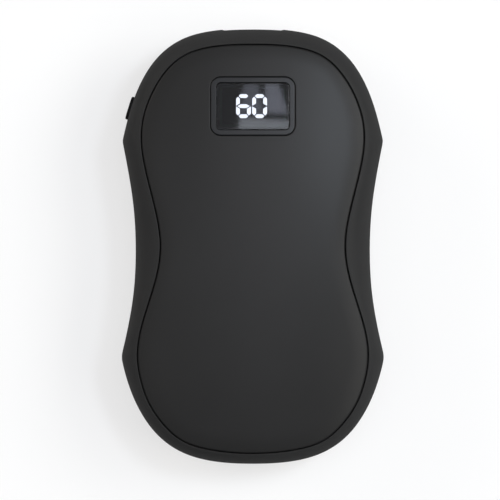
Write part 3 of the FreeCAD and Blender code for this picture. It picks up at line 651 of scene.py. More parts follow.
def panel_top(inset):
    """The row of the panel's face at an inset from the seam: the dome, rolled off near the edge."""
    flat = seam_loop + seam_inward * inset
    share = np.clip(1 - (inset - seam_gap) / roll_width, 0, 1)
    return raised(flat, dome(flat[:, 0], flat[:, 1]) - roll_drop * share ** 2)


def panel_edge():
    """Rows from the inside of the skirt round its foot and over the rounded edge onto the dome."""
    foot_z = shelf_z + skirt_lift
    inside = raised(seam_loop + seam_inward * (seam_gap + skirt_wall), foot_z)
    crest, landing = panel_top(seam_gap), panel_top(seam_gap + panel_edge_radius)
    outside, side, base = crest.copy(), crest.copy(), crest.copy()
    outside[:, 2] = foot_z
    side[:, 2] -= 2 * panel_edge_radius
    base[:, 2] -= panel_edge_radius
    share = np.linspace(0, 1, panel_edge_rows)[:, None, None]
    corner = (1 - share) ** 2 * base + 2 * share * (1 - share) * crest + share ** 2 * landing
    roll = np.linspace(roll_start, roll_width, roll_rows)
    insets = seam_gap + np.concatenate([[panel_edge_radius + FINE_STEP], roll])
    return np.concatenate([[inside, outside, side], corner, [panel_top(inset) for inset in insets]])


def between(start, end, count, depth=0.0):
    """Rows on the dome from one loop to another, in even steps seen from the front."""
    share = np.linspace(0, 1, count + 2)[1:-1, None, None]
    flat = start[None, :, :2] * (1 - share) + end[None, :, :2] * share
    return raised(flat, dome(flat[..., 0], flat[..., 1]) - depth)


print("panel edge in", len(panel_edge()), "rows of", panel_columns, "points")

# %% The front panel with its window
window_drop = 18.89
lens_width, lens_height, lens_corner = 17.6, 11.35, 0.8
bezel_band, bezel_corner, bezel_gap = 1.35, 2.5, 0.12
window_edge_radius, window_edge_rows = 0.16, 5
front_outside_rows, front_inside_rows = 110, 12
window_y = crown_y - window_drop
window_tilt = math.asin(window_y / dome_radius_along)
bezel_width, bezel_height = lens_width + 2 * bezel_band, lens_height + 2 * bezel_band
window_normal = np.array([0, math.sin(window_tilt), math.cos(window_tilt)])
window_up = np.array([0, math.cos(window_tilt), -math.sin(window_tilt)])
window_middle = np.array([0, window_y, dome(0, window_y)])


def over_window(loop, level=0.0):
    """Points in the plane of the window, at a level above it."""
    return window_middle + loop[:, :1] * [1, 0, 0] + loop[:, 1:] * window_up + level * window_normal


def on_window(loop, depth=0.0):
    """Points of the dome over the window, sunk by a depth square to the window."""
    flat = over_window(loop)[:, :2]
    return raised(flat, dome(flat[:, 0], flat[:, 1])) - depth * window_normal


def front_panel():
    """Rows of the front panel, from the skirt over the dome to the window and back on the inside."""
    edge = panel_edge()
    from_middle = edge[-1, :, :2] - window_middle[:2]
    angles = np.arctan2(from_middle[:, 1], from_middle[:, 0])
    rows = []
    for turn in np.linspace(0, np.pi / 2, window_edge_rows):
        grown = 2 * (bezel_gap + window_edge_radius * (1 - math.sin(turn)))
        loop = rounded_rectangle(bezel_width + grown, bezel_height + grown, bezel_corner + grown / 2)
        rows.append(on_window(at_angles(loop, angles), window_edge_radius * (1 - math.cos(turn))))
    rows.append(on_window(at_angles(loop, angles), panel_wall))
    outer = between(edge[-1], rows[0], front_outside_rows)
    inner = between(rows[-1], edge[0], front_inside_rows, panel_wall)
    return np.concatenate([edge, outer, rows, inner])


front_piece = make_ring("front_shell", front_panel(), slot="soft_black", nodes=["front_panel"])

# %% The rear panel with its foot
rear_inside_rows, rear_outside_rows = 16, 46
inner_ring_share, foot_shares = 0.02, (1, 0.97, 0.5)
FOOT_GUESS, FOOT_ROUNDS = 15.0, 6


def foot_loop(angles):
    """Where the dome meets the ground: each ray's length is corrected until the drop fits."""
    drop = dome_height - middle_z
    length = np.full_like(angles, FOOT_GUESS)
    for _ in range(FOOT_ROUNDS):
        fallen = dome_height - dome(length * np.cos(angles), length * np.sin(angles))
        length = length * np.sqrt(drop / fallen)
    return on_rays(length, angles)


def rear_panel():
    """Rows of the rear panel, from the middle of the inside round the skirt to the flat foot."""
    edge = panel_edge()
    foot = foot_loop(np.arctan2(edge[-1, :, 1], edge[-1, :, 0]))
    small = raised(foot * inner_ring_share, dome_height - panel_wall)
    inside = between(small, edge[0], rear_inside_rows, panel_wall)
    outside = between(edge[-1], raised(foot, middle_z), rear_outside_rows)
    flat = [raised(foot * share, middle_z) for share in foot_shares]
    return np.concatenate([[small], inside, edge, outside, flat]) * [1, 1, -1]


inside_middle, foot_middle = (0, 0, panel_wall - dome_height), (0, 0, -middle_z)
rear_piece = make_lump("rear_shell", rear_panel(), inside_middle, foot_middle, slot="soft_black",
                       nodes=["rear_panel"])

# %% [markdown]
# ## The display
# A rounded frame sits flush in the window of the panel, with a fine groove round it. Inside it lies a
# flat lens of smoked acrylic, half a millimetre down. The frame could be a bevelled box, but its face
# has to follow the dome, so it is a profile carried round the window.

# %% The frame round the lens
bezel_depth, bezel_flange, bezel_glue = 3.4, 1.2, 0.05
lens_gap, lens_ledge, lens_recess, lens_thickness = 0.06, 0.8, 0.5, 1.2
bezel_edge_radius, bezel_inner_radius, bezel_edge_rows = 0.26, 0.14, 6
bezel_face_shares = (0.05, 0.5, 0.95)


def bezel():
    """Rows of the frame: flange, outer wall, rounded face on the dome, pocket and ledge for the lens."""
    def loop(offset):
        corner = max(bezel_corner + offset, lens_corner / 2)
        return rounded_rectangle(bezel_width + 2 * offset, bezel_height + 2 * offset, corner)

    under = panel_wall + bezel_glue
    pocket, ledge = lens_gap - bezel_band, -bezel_band - lens_ledge
    floor = -lens_recess - lens_thickness
    turn = np.linspace(0, np.pi / 2, bezel_edge_rows)
    rows = [over_window(loop(bezel_flange), -bezel_depth), on_window(loop(bezel_flange), under),
            on_window(loop(0), under), on_window(loop(0), 2 * bezel_edge_radius)]
    for angle in turn:
        inset, sunk = bezel_edge_radius * (1 - np.cos(angle)), bezel_edge_radius * (1 - np.sin(angle))
        rows.append(on_window(loop(-inset), sunk))
    face = pocket + bezel_edge_radius + bezel_inner_radius
    for share in bezel_face_shares:
        rows.append(on_window(loop(face * share - bezel_edge_radius)))
    for angle in turn[::-1]:
        inset, sunk = bezel_inner_radius * (1 - np.cos(angle)), bezel_inner_radius * (1 - np.sin(angle))
        rows.append(on_window(loop(pocket + inset), sunk))
    rows += [over_window(loop(pocket), floor), over_window(loop(ledge), floor)]
    rows.append(over_window(loop(ledge), -bezel_depth))
    return np.stack(rows)


bezel_piece = make_ring("display_frame", bezel(), slot="bezel_black", nodes=["display_bezel"])

# %% The lens
# The lens is drawn smaller all round than in the part's source, so that the gap shows as a dark line.
lens_play = 0.12
lens_edge_radius, lens_edge_rows = 0.06, 4


def lens():
    """Rows of a flat plate with round corners and rounded edges, from behind to the front."""
    width, height = lens_width - 2 * lens_play, lens_height - 2 * lens_play
    back, front = -lens_recess - lens_thickness, -lens_recess
    turn = np.linspace(0, np.pi / 2, lens_edge_rows)
    inset = 1.5 * lens_edge_radius
    flat = rounded_rectangle(width - 2 * inset, height - 2 * inset, lens_corner - inset)
    rows = [over_window(flat, back)]
    for level, side, angles in ((back, 1, turn), (front, -1, turn[::-1])):
        for angle in angles:
            inset, sunk = lens_edge_radius * (1 - math.sin(angle)), lens_edge_radius * (1 - math.cos(angle))
            loop = rounded_rectangle(width - 2 * inset, height - 2 * inset, lens_corner - inset)
            rows.append(over_window(loop, level + side * sunk))
    return np.stack(rows + [over_window(flat, front)])


lens_back, lens_front = (over_window(np.zeros((1, 2)), level)[0]
                         for level in (-lens_recess - lens_thickness, -lens_recess))
lens_piece = make_lump("smoked_window", lens(), lens_back, lens_front, slot="smoked_lens",
                       nodes=["display_lens"])

# %% [markdown]
# ## The lit bars
# Each digit has seven bars, and of the two digits twelve bars are lit. Their CAD solids have the right
# shape but for the middle bar of the 6, which in the photo reaches further and ends in points. It could
# be drawn anew, but its few points at the tips only need to move. So the mesh is copied, the tips move
# outwards, and all the faces come forward by a hair, so that the tips lie over the block round them.

# %% The lit bars with a longer middle bar
# The slit between two bars, how far the tips move outwards, and how far the faces come forward.
bar_slit, bar_reach, bar_proud = 0.17, 0.36, 0.02


def copied_mesh(node, name):
    """A copy of a CAD node's mesh with no material on it. The node's own mesh is left alone."""
    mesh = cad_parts[node].data.copy()
    mesh.name = name
    mesh.materials.clear()
    return mesh


def lit_bars():
    """The lit bars with the tips of the middle bar, which alone lie on the middle line, moved apart."""
    mesh = copied_mesh("lit_segments", "lit_bars")
    points = np.empty(len(mesh.vertices) * 3)
    mesh.vertices.foreach_get("co", points)
    points = points.reshape(-1, 3) / MM
    tip = np.abs(points[:, 1] - window_y) < bar_slit / 4
    centre = (points[tip, 0].min() + points[tip, 0].max()) / 2
    points[tip, 0] += np.sign(points[tip, 0] - centre) * bar_reach
    points[points[:, 2] > points[:, 2].mean(), 2] += bar_proud
    mesh.vertices.foreach_set("co", (points * MM).ravel())
    mesh.update()
    return mesh


bars_piece = place_piece("lit_bars", lit_bars(), ["lit_segments"], "housing")

# %% [markdown]
# ## The button
# The button is a slim bar with round ends that stands a little out of the left edge. Behind the wall it
# has a flange that keeps it in and a post that pushes the switch. It slides along its own axis, so it
# rides on the button's body. A bevelled block could stand for it, but its face is crowned, so each row
# of its grid is a slot outline at one depth.

# %% The button cap, its flange and its post
button_proud, button_edge_radius, button_crown = 0.65, 0.34, 0.06
button_stop, button_flange, button_flange_wall = 2.1, 0.8, 0.8
button_post, post_length = 2.0, 0.75
button_corner_steps, button_side_steps, button_edge_rows = 10, 12, 7
crown_shares = (0.9, 0.65, 0.35, 0.1)


def out_of_rim(loop, out):
    """A flat loop stood square to the rim, at one distance out from the outline."""
    return raised(button_middle + loop[:, :1] * button_along + out * button_outward, loop[:, 1])


def button_loop(change=0.0):
    """The button's slot outline, grown or shrunk by a change of its length and height."""
    length, height = button_length + change, button_height + change
    return rounded_rectangle(length, height, height / 2, button_corner_steps, button_side_steps)


def button():
    """Rows from the end of the post over the flange and the side of the cap to its crowned face."""
    flange_back = -button_stop - button_flange_wall
    edge = button_proud - button_crown
    slot_loop, flange_loop = button_loop(), button_loop(2 * button_flange)
    angles = np.arctan2(slot_loop[:, 1], slot_loop[:, 0])
    post_loop = button_post / 2 * np.stack([np.cos(angles), np.sin(angles)], -1)
    rows = [out_of_rim(post_loop, flange_back - post_length), out_of_rim(post_loop, flange_back),
            out_of_rim(flange_loop, flange_back), out_of_rim(flange_loop, -button_stop),
            out_of_rim(slot_loop, -button_stop), out_of_rim(slot_loop, edge - 2 * button_edge_radius)]
    for angle in np.linspace(0, np.pi / 2, button_edge_rows):
        inset = 2 * button_edge_radius * (1 - math.cos(angle))
        rows.append(out_of_rim(button_loop(-inset), edge - button_edge_radius * (1 - math.sin(angle))))
    flat_height = button_height - 2 * button_edge_radius
    for share in crown_shares:
        inset = flat_height * (1 - share) + 2 * button_edge_radius
        rows.append(out_of_rim(button_loop(-inset), button_proud - button_crown * share ** 2))
    return np.stack(rows)


post_end = np.append(button_middle - button_outward * (button_stop + button_flange_wall + post_length), 0)
face_middle = np.append(button_middle + button_outward * button_proud, 0)
button_piece = make_lump("button_cap", button(), post_end, face_middle, body="button", slot="button_black",
                         nodes=["power_button"])

# %% [markdown]
# ## The charging socket
# The socket is a drawn steel shell with a plastic tongue inside it. Its CAD solids have the right shape,
# only their edges are knife-sharp and their round sides are flat facets. So a copy of each mesh is
# merged, shaded smooth and given a fine bevel, as the drawn metal and the moulding have.

# %% Softened copies of the socket's solids
MERGE_DISTANCE = 1e-7
shell_edge, tongue_edge = 0.06, 0.08


def softened_copy(node, name, edge):
    """A copy of a CAD node with merged points, smooth shading and edges rounded by a width in mm."""
    mesh = copied_mesh(node, name)
    shape = bmesh.new()
    shape.from_mesh(mesh)
    bmesh.ops.remove_doubles(shape, verts=shape.verts, dist=MERGE_DISTANCE)
    shape.to_mesh(mesh)
    shape.free()
    mesh.shade_smooth()
    mesh.set_sharp_from_angle(angle=SHARP_ANGLE)
    piece = place_piece(name, mesh, [node], "housing")
    bevel = piece.modifiers.new("fine_edges", "BEVEL")
    bevel.width = edge * MM
    bevel.segments = 2
    bevel.limit_method = "ANGLE"
    bevel.angle_limit = SHARP_ANGLE
    return piece


shell_piece = softened_copy("usb_shell", "socket_shell", shell_edge)
tongue_piece = softened_copy("usb_tongue", "socket_tongue", tongue_edge)

# %% [markdown]
# ## Materials
# Every finish here is made of two patterns with a real size: a fine grain that moves the height of the
# surface, and a broad mottle that moves its colour and its roughness a little. That is what keeps a
# plain moulding from looking like a flat colour. Numbers that are the same all over a surface go
# straight onto the shader.


# %% Colours and nodes
def linear(hex_colour):
    """An sRGB hex value as linear red, green, blue and alpha."""
    value = np.array([int(hex_colour[place:place + 2], 16) for place in (1, 3, 5)]) / 255
    value = np.where(value <= 0.04045, value / 12.92, ((value + 0.055) / 1.055) ** 2.4)
    return (*value, 1.0)


def add_node(tree, kind, inputs=(), links=(), **settings):
    """Adds one node with its settings, its socket values and the links into it."""
    node = tree.nodes.new(kind)
    for name, value in settings.items():
        setattr(node, name, value)
    for name, value in dict(inputs).items():
        node.inputs[name].default_value = value
    for name, source in dict(links).items():
        tree.links.new(source, node.inputs[name])
    return node


WHITE = linear("#ffffff")
print("middle grey in linear light", round(linear("#808080")[0], 3))

# %% Finishes
# The size of a pattern at scale 1: a wave repeats sooner than noise and cells do.
WAVE_PERIOD = math.pi / 10
PATTERNS = {"noise": ("ShaderNodeTexNoise", 1), "cells": ("ShaderNodeTexVoronoi", 1),
            "bands": ("ShaderNodeTexWave", WAVE_PERIOD)}


def finish(name, colours, roughness, grain, relief, mottle, stretch=(1, 1, 1), kinds=("noise", "noise"),
           **shader):
    """A material whose patterns have real sizes.

    colours are two hex values and roughness two numbers, mixed by a broad pattern of mottle mm. One
    hex value alone is the same all over. A fine pattern of grain mm moves the height by relief mm.
    stretch draws both patterns out along an axis, and kinds names them, the broad one first. What is
    left goes straight onto the shader's sockets.
    """
    material = bpy.data.materials.new(name)
    material.use_nodes = True
    tree = material.node_tree
    tree.nodes.clear()
    place = add_node(tree, "ShaderNodeTexCoord")
    drawn = add_node(tree, "ShaderNodeMapping", {"Scale": stretch}, {"Vector": place.outputs["Object"]})
    scales = []
    for kind, size in zip(kinds, (mottle, grain)):
        node_kind, period = PATTERNS[kind]
        scales.append(add_node(tree, node_kind, {"Scale": period / (size * MM)},
                               {"Vector": drawn.outputs["Vector"]}).outputs[0])
    broad, fine = scales
    dull = add_node(tree, "ShaderNodeMapRange", {"To Min": roughness[0], "To Max": roughness[1]},
                    {"Value": broad})
    bump = add_node(tree, "ShaderNodeBump", {"Distance": relief * MM}, {"Height": fine})
    values = {socket.replace("_", " "): value for socket, value in shader.items()}
    links = {"Roughness": dull.outputs["Result"], "Normal": bump.outputs["Normal"]}
    shades = [linear(colour) for colour in colours]
    if len(shades) == 1:
        values["Base Color"] = shades[0]
    else:
        mixed = add_node(tree, "ShaderNodeMixRGB", {"Color1": shades[0], "Color2": shades[1]}, {"Fac": broad})
        links["Base Color"] = mixed.outputs["Color"]
    bsdf = add_node(tree, "ShaderNodeBsdfPrincipled", values, links)
    add_node(tree, "ShaderNodeOutputMaterial", links={"Surface": bsdf.outputs["BSDF"]})
    return material


def dress(material, *wearers):
    """Gives a material to pieces and to CAD nodes by name."""
    for wearer in wearers:
        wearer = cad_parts[wearer] if isinstance(wearer, str) else wearer
        if not wearer.material_slots:
            wearer.data.materials.append(material)
        for slot in wearer.material_slots:
            slot.material = material
    print(material.name, "on", len(wearers))


# %% [markdown]
# ## Finishes of the shell
# All of the shell is black, so what tells its pieces apart is how strong and how wide their sheen is. A
# single glossy layer could not be dull and softly shining at once. So the pigment below scatters light
# with no gloss of its own, and a thin, rough coat over it carries the sheen.

# %% The shell
# Soft-touch lacquer on the panels: a matte black film with a broad, soft sheen and no sparkle. The real
# grain is about 0.05 mm; it is drawn at 0.4 mm, because a finer one can't show in the render.
dress(finish("soft_touch_lacquer", ("#252525", "#292929"), (0.40, 0.48), grain=0.4, relief=0.004,
             mottle=18.0, IOR=1.5, Specular_IOR_Level=0.0, Coat_Weight=0.25, Coat_Roughness=0.33,
             Coat_IOR=1.5), front_piece, rear_piece)
# The rim is bare ABS from a spark-eroded tool: a coarser grain that leaves hardly any sheen.
dress(finish("eroded_abs_moulding", ("#2b2b2b", "#303030"), (0.60, 0.70), grain=0.35, relief=0.02,
             mottle=18.0, IOR=1.5, Specular_IOR_Level=0.0, Coat_Weight=0.11, Coat_Roughness=0.45,
             Coat_IOR=1.5), rim_piece)
# Satin ABS round the display, from a polished tool: smoother than the lacquer.
dress(finish("satin_abs_moulding", ("#242527", "#28292b"), (0.36, 0.44), grain=0.3, relief=0.003,
             mottle=9.0, IOR=1.53, Specular_IOR_Level=0.0, Coat_Weight=0.34, Coat_Roughness=0.33,
             Coat_IOR=1.5), bezel_piece)
# The button is the same ABS, coloured darker as painted shade for the shade it sits in at the edge of the
# body.
dress(finish("abs_moulding_darkened_as_painted_shade", ("#131415", "#18191a"), (0.38, 0.45), grain=0.25, relief=0.003,
             mottle=3.0, IOR=1.53, Specular_IOR_Level=0.0, Coat_Weight=0.12, Coat_Roughness=0.4,
             Coat_IOR=1.5), button_piece)

# %% [markdown]
# ## Finishes of the display
# The digits shine through a dark, polished lens. A black mirror with white bars on top would do for one
# view, but not from the side. So the lens is clear and tinted, as the real one is, and the bars shine
# below it.

# %% The display
# Smoked acrylic, polished: it dims what is behind it and mirrors the room as glass does.
dress(finish("smoked_acrylic", ["#7d8087"], (0.02, 0.03), grain=0.6, relief=0.00002, mottle=4.0, IOR=1.49,
             Transmission_Weight=1.0), lens_piece)
# The block round the bars is epoxy-filled polycarbonate, painted flat black so that only the bars shine.
dress(finish("flat_black_paint", ("#0a0a0b", "#0d0d0e"), (0.75, 0.85), grain=0.3, relief=0.004, mottle=2.0),
      "digit_block")
# The lit bars are milky epoxy with a lamp behind it: plain white light.
dress(finish("lit_milky_epoxy", ("#f4f6fa", "#ffffff"), (0.4, 0.5), grain=0.3, relief=0.002, mottle=1.5,
             Emission_Color=WHITE, Emission_Strength=4.8), bars_piece)
# The bars that are off are the same epoxy, with no light in it.
dress(finish("unlit_milky_epoxy", ("#17181a", "#1c1d1f"), (0.4, 0.5), grain=0.3, relief=0.002, mottle=1.5),
      "unlit_segments")

# %% [markdown]
# ## Finishes of the socket and the inside
# The socket shows its plating at the top edge, and the rest is only seen once the shell is opened. Plain
# colours would do for hidden pieces, but each real material is easy to tell by its grain and its sheen,
# so each gets its own numbers in the same kind of finish.

# %% The socket
# Deep-drawn steel with bright nickel: faint draw lines along the shell.
dress(finish("nickel_plated_steel", ("#a9a8a6", "#c4c3c0"), (0.22, 0.34), grain=0.15, relief=0.002,
             mottle=0.8, stretch=(1, 0.1, 1), Metallic=1.0), shell_piece)
# Glass-filled black plastic of the tongue.
dress(finish("glass_filled_plastic", ("#111112", "#18181a"), (0.45, 0.6), grain=0.12, relief=0.003,
             mottle=1.0), tongue_piece)
# Hard gold over nickel on the contacts.
dress(finish("hard_gold_plating", ("#d9ac52", "#e6bd68"), (0.2, 0.3), grain=0.1, relief=0.001, mottle=0.7,
             Metallic=1.0), "usb_contacts")

# %% Boards and their parts
# Solder mask on glass epoxy: the weave of the glass shows through the green lacquer.
dress(finish("green_solder_mask", ("#0c4a2a", "#105c34"), (0.25, 0.4), grain=0.5, relief=0.006, mottle=3.0),
      "main_board", "protection_board")
# Transfer-moulded epoxy of chips and switch: grey-black and sandy.
dress(finish("moulded_epoxy", ("#19191a", "#232324"), (0.55, 0.7), grain=0.15, relief=0.005, mottle=1.5),
      "control_chips", "switch_body", "front_sensor", "rear_sensor")
# Pressed ferrite powder of the coil's shield.
dress(finish("pressed_ferrite", ("#2a2a2b", "#363637"), (0.5, 0.7), grain=0.2, relief=0.01, mottle=1.2),
      "power_coil")
# Sintered ceramic of the capacitors.
dress(finish("sintered_ceramic", ("#9a7a55", "#ad8c64"), (0.4, 0.55), grain=0.2, relief=0.003, mottle=1.0),
      "board_capacitors")
# Zinc-plated steel screws.
dress(finish("zinc_plated_steel", ("#9c9da0", "#b4b5b8"), (0.25, 0.4), grain=0.2, relief=0.003, mottle=1.0,
             Metallic=1.0), "board_screws", "frame_screws")

# %% Cells and heaters
# Pouch foil: aluminium under nylon, with shallow creases.
dress(finish("laminated_pouch_foil", ("#b9bbbe", "#cfd1d4"), (0.3, 0.45), grain=2.5, relief=0.05, mottle=9.0,
             Metallic=0.8), "front_cell", "rear_cell")
# Tissue tape between the cells.
dress(finish("tissue_tape", ("#dedcd4", "#ebe9e2"), (0.7, 0.9), grain=0.3, relief=0.01, mottle=3.0),
      "cell_tape")
# Rolled nickel strip of the tabs.
dress(finish("rolled_nickel_strip", ("#a7a49c", "#bdbab2"), (0.25, 0.4), grain=0.1, relief=0.002, mottle=1.0,
             stretch=(1, 0.1, 1), Metallic=1.0), "cell_tabs")
# Grey polycarbonate blend of the cell frame, and black acetal of the switch plunger.
dress(finish("grey_moulded_blend", ("#4c4d50", "#55565a"), (0.5, 0.6), grain=0.3, relief=0.006, mottle=6.0),
      "cell_frame")
dress(finish("black_acetal", ("#141415", "#1b1b1c"), (0.35, 0.45), grain=0.2, relief=0.002, mottle=1.0),
      "switch_plunger")
# Silicone insulation of the leads: dull red with a soft sheen.
dress(finish("red_silicone_insulation", ("#8d1a18", "#a0201d"), (0.5, 0.65), grain=0.3, relief=0.004,
             mottle=2.0), "battery_leads", "front_heater_leads", "rear_heater_leads")
# Rolled aluminium sheet, with its rolling lines along the body.
dress(finish("rolled_aluminium", ("#c2c4c7", "#d3d5d8"), (0.28, 0.42), grain=0.12, relief=0.003, mottle=2.5,
             stretch=(1, 0.06, 1), Metallic=1.0), "front_spreader", "rear_spreader")
# Amber polyimide film with the etched heater track showing as bands.
dress(finish("polyimide_film", ("#9a5a14", "#b8742a"), (0.2, 0.35), grain=1.6, relief=0.02, mottle=3.2,
             kinds=("bands", "bands")), "front_heater", "rear_heater")
# Closed-cell foam: fine bubbles.
dress(finish("closed_cell_foam", ("#55565a", "#66676b"), (0.8, 0.95), grain=0.5, relief=0.08, mottle=1.2,
             kinds=("cells", "cells")), "front_foam", "rear_foam")
print("materials", len(bpy.data.materials))

# %% [markdown]
# ## Floor and room
# The hand warmer lies on its back on a pale, matt floor. The photo's background is pure white, and more
# light would bleach the body. So the floor's paper is mixed with plain white for rays that come from the
# camera, from a mirror or through glass, and the paper's share keeps the shadow. The room is a plain
# gradient: as pale as the floor at the horizon, so that no line shows where the floor ends, and dim
# overhead, because a black body mirrors whatever is above it.

# %% The floor
# The floor, the lamps and the camera are placed in metres.
floor_half = 6.0
WHITE_SHARE = 0.65
floor_corners = [(-floor_half, -floor_half, 0), (floor_half, -floor_half, 0), (floor_half, floor_half, 0),
                 (-floor_half, floor_half, 0)]
floor_mesh = bpy.data.meshes.new("floor")
floor_mesh.from_pydata(floor_corners, [], [(0, 1, 2, 3)])
floor = bpy.data.objects.new("floor", floor_mesh)
bpy.context.scene.collection.objects.link(floor)
# Matt paper: it scatters nearly all light and has no gloss.
matt_paper = finish("matt_paper", ("#f6f6f6", "#f8f8f8"), (0.9, 0.95), grain=1.0, relief=0.0, mottle=300.0,
                    Specular_IOR_Level=0.0)
dress(matt_paper, floor)
tree = matt_paper.node_tree
paper = next(node for node in tree.nodes if node.type == "BSDF_PRINCIPLED")
ray = add_node(tree, "ShaderNodeLightPath").outputs
mirror = add_node(tree, "ShaderNodeMath", operation="MAXIMUM",
                  links={0: ray["Is Glossy Ray"], 1: ray["Is Transmission Ray"]})
seen = add_node(tree, "ShaderNodeMath", operation="MAXIMUM",
                links={0: ray["Is Camera Ray"], 1: mirror.outputs["Value"]})
white_part = add_node(tree, "ShaderNodeMath", {1: WHITE_SHARE}, {0: seen.outputs["Value"]},
                      operation="MULTIPLY")
white = add_node(tree, "ShaderNodeEmission", {"Color": WHITE, "Strength": 1.0})
mixed = add_node(tree, "ShaderNodeMixShader", links={0: white_part.outputs["Value"], 1: paper.outputs["BSDF"],
                                                     2: white.outputs["Emission"]})
tree.links.new(mixed.outputs["Shader"], tree.get_output_node("ALL").inputs["Surface"])
print("floor", 2 * floor_half, "m wide, white by", WHITE_SHARE)

# %% The room
# The fade runs over the height of the direction of view: 0 is level and 1 straight up.
HORIZON_LEVEL, OVERHEAD_LEVEL = 0.9, 0.04
FADE_START, FADE_END = 0.05, 0.4
room = bpy.data.worlds.new("room")
room.use_nodes = True
tree = room.node_tree
tree.nodes.clear()
direction = add_node(tree, "ShaderNodeTexCoord")
height = add_node(tree, "ShaderNodeSeparateXYZ", links={"Vector": direction.outputs["Generated"]})
fade = {"From Min": FADE_START, "From Max": FADE_END, "To Min": HORIZON_LEVEL, "To Max": OVERHEAD_LEVEL}
level = add_node(tree, "ShaderNodeMapRange", fade, {"Value": height.outputs["Z"]},
                 interpolation_type="SMOOTHSTEP")
glow = add_node(tree, "ShaderNodeBackground", {"Color": WHITE}, {"Strength": level.outputs["Result"]})
add_node(tree, "ShaderNodeOutputWorld", links={"Surface": glow.outputs["Background"]})
bpy.context.scene.world = room
print("room", HORIZON_LEVEL, "at the horizon,", OVERHEAD_LEVEL, "overhead")

# %% [markdown]
# ## Lamps
# The photo's sheen tells where the light was: a large soft lamp to the right, a smaller one at the upper
# right that makes the highlight beside the display, and weak light from above and from the left. Each
# lamp is a disc that faces the body, given by its place in the sky, how wide it looks from the body, and
# how bright it looks.

# %% Round soft lamps
lamp_distance = 2.0
body_middle = Vector((0, 0, middle_z * MM))
# Each lamp: degrees from straight up, degrees from +X towards +Y, degrees wide, brightness and colour.
lamp_table = {
    "overhead": (0, 0, 24, 1.7, "#f6f8ff"),
    "upper_overhead": (14, 60, 30, 2.5, "#f6f7ff"),
    "right_key": (50, 20, 30, 7.0, "#fffefb"),
    "right_fill": (40, 345, 26, 3.8, "#fffcf6"),
    "highlight": (23.5, 29, 10, 30.0, "#e8f3ff"),
    "left_fill": (20, 180, 24, 1.2, "#f6f9ff"),
    "wide_left": (40, 180, 40, 0.35, "#fff2e4"),
    "low_left": (68, 150, 38, 2.7, "#fff8f0")}


def soft_lamp(name, zenith, azimuth, width, brightness, colour):
    """A disc lamp that looks width degrees wide; its power is pi times its area times its brightness."""
    fall, turn = math.radians(zenith), math.radians(azimuth)
    towards = Vector((math.sin(fall) * math.cos(turn), math.sin(fall) * math.sin(turn), math.cos(fall)))
    lamp = bpy.data.lights.new(name, "AREA")
    lamp.shape = "DISK"
    lamp.size = 2 * lamp_distance * math.tan(math.radians(width / 2))
    lamp.energy = math.pi * brightness * math.pi * (lamp.size / 2) ** 2
    lamp.color = linear(colour)[:3]
    holder = bpy.data.objects.new(name, lamp)
    bpy.context.scene.collection.objects.link(holder)
    holder.location = body_middle + lamp_distance * towards
    holder.rotation_mode = "QUATERNION"
    holder.rotation_quaternion = (-towards).to_track_quat("-Z", "Y")
    holder.visible_camera = False


for lamp_name, lamp_facts in lamp_table.items():
    soft_lamp(lamp_name, *lamp_facts)
print("lamps", len(bpy.data.lights))

# %% [markdown]
# ## The camera
# The photo looks straight down on the front, from so far away that the sides hardly show. A camera could
# be turned by eye until the outlines agree, but the scale of the photo is known. So the camera stands
# over the middle of the photo, and its focal length follows from the distance and the photo's width.

# %% Camera
PHOTO_PIXELS = 500
photo_scale = 0.24132
camera_distance, camera_reach = 2.4, 10
sensor_width = 36.0
view_middle = np.array([-0.67, -0.77])
view_width = PHOTO_PIXELS * photo_scale * MM
camera_data = bpy.data.cameras.new("camera")
camera_data.sensor_width = sensor_width
camera_data.lens = sensor_width * camera_distance / view_width
camera_data.clip_end = camera_reach
camera = bpy.data.objects.new("camera", camera_data)
bpy.context.scene.collection.objects.link(camera)
camera.location = (*(view_middle * MM), middle_z * MM + camera_distance)
bpy.context.scene.camera = camera
bpy.context.scene.view_settings.view_transform = "Standard"
print("camera", round(camera_data.lens, 1), "mm lens")

# %% [markdown]
# ## What the lens mirrors
# A flat glossy lens is a mirror: what shows in it is whatever stands in the mirrored line of sight. In
# the photo that is the edge of a bright window with a bar across it. The panes could be painted on the
# lens, but they would then stay put when the view changes. So a card with bright panes hangs there,
# just as large as the lens needs.

# %% The mirrored line of sight
card_distance = 500.0
eye = np.array(camera.location) / MM - [0, 0, middle_z]
lens_plane = window_middle - lens_recess * window_normal
eye_height = (eye - lens_plane) @ window_normal
mirrored_eye = eye - 2 * eye_height * window_normal


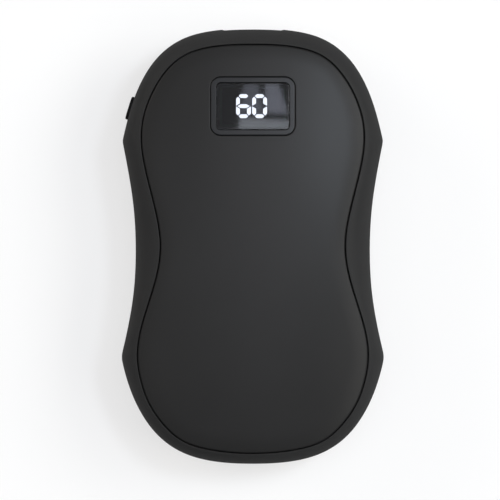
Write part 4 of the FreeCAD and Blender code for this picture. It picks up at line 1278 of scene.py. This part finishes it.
def on_card(corners, nearer):
    """Where the mirrored lines of sight through points of the lens, in mm, meet the card."""
    corners = np.array(corners)
    on_lens = lens_plane + corners[:, :1] * [1, 0, 0] + corners[:, 1:] * window_up
    return on_lens + (on_lens - mirrored_eye) * (card_distance / eye_height) * (1 - nearer)


print("card", card_distance, "mm from the lens, eye", round(eye_height), "mm")

# %% The cards
pane_lead = 0.01
# Each card: finish, colour, brightness, how much nearer it hangs, and corners as seen in the lens.
card_table = {
    "card_wall": ("dim_wall", "#f0f2f6", 0.5, 0.0, [(-12, -9), (12, -9), (12, 9), (-12, 9)]),
    "card_left_pane": ("grey_pane", "#e9eeff", 2.0, pane_lead,
                       [(-3.0, -1.9), (2.6, -1.9), (1.2, 5.6), (-2.2, 5.6)]),
    "card_right_pane": ("bright_pane", "#e9eeff", 2.9, pane_lead,
                        [(3.1, -1.5), (8.7, -2.0), (5.9, 6.0), (2.9, 6.0), (3.0, 2.5)]),
    "card_low_pane": ("brighter_pane", "#eff5ff", 3.7, pane_lead,
                      [(-3.6, -6.0), (9.5, -6.0), (9.5, -3.5), (-3.1, -2.75)])}


def glowing(name, colour, brightness):
    """A plain shining finish for a reflection card."""
    material = bpy.data.materials.new(name)
    material.use_nodes = True
    tree = material.node_tree
    tree.nodes.clear()
    shine = add_node(tree, "ShaderNodeEmission", {"Color": linear(colour), "Strength": brightness})
    add_node(tree, "ShaderNodeOutputMaterial", links={"Surface": shine.outputs["Emission"]})
    return material


def card(name, material, nearer, corners):
    """A flat card that the camera sees only in the lens."""
    mesh = bpy.data.meshes.new(name)
    placed = (on_card(corners, nearer) + [0, 0, middle_z]) * MM
    mesh.from_pydata(placed.tolist(), [], [range(len(corners))])
    mesh.materials.append(material)
    pane = bpy.data.objects.new(name, mesh)
    bpy.context.scene.collection.objects.link(pane)
    pane.visible_camera = False


for card_name, (shine_name, colour, brightness, nearer, corners) in card_table.items():
    card(card_name, glowing(shine_name, colour, brightness), nearer, corners)
print("cards", len(card_table))
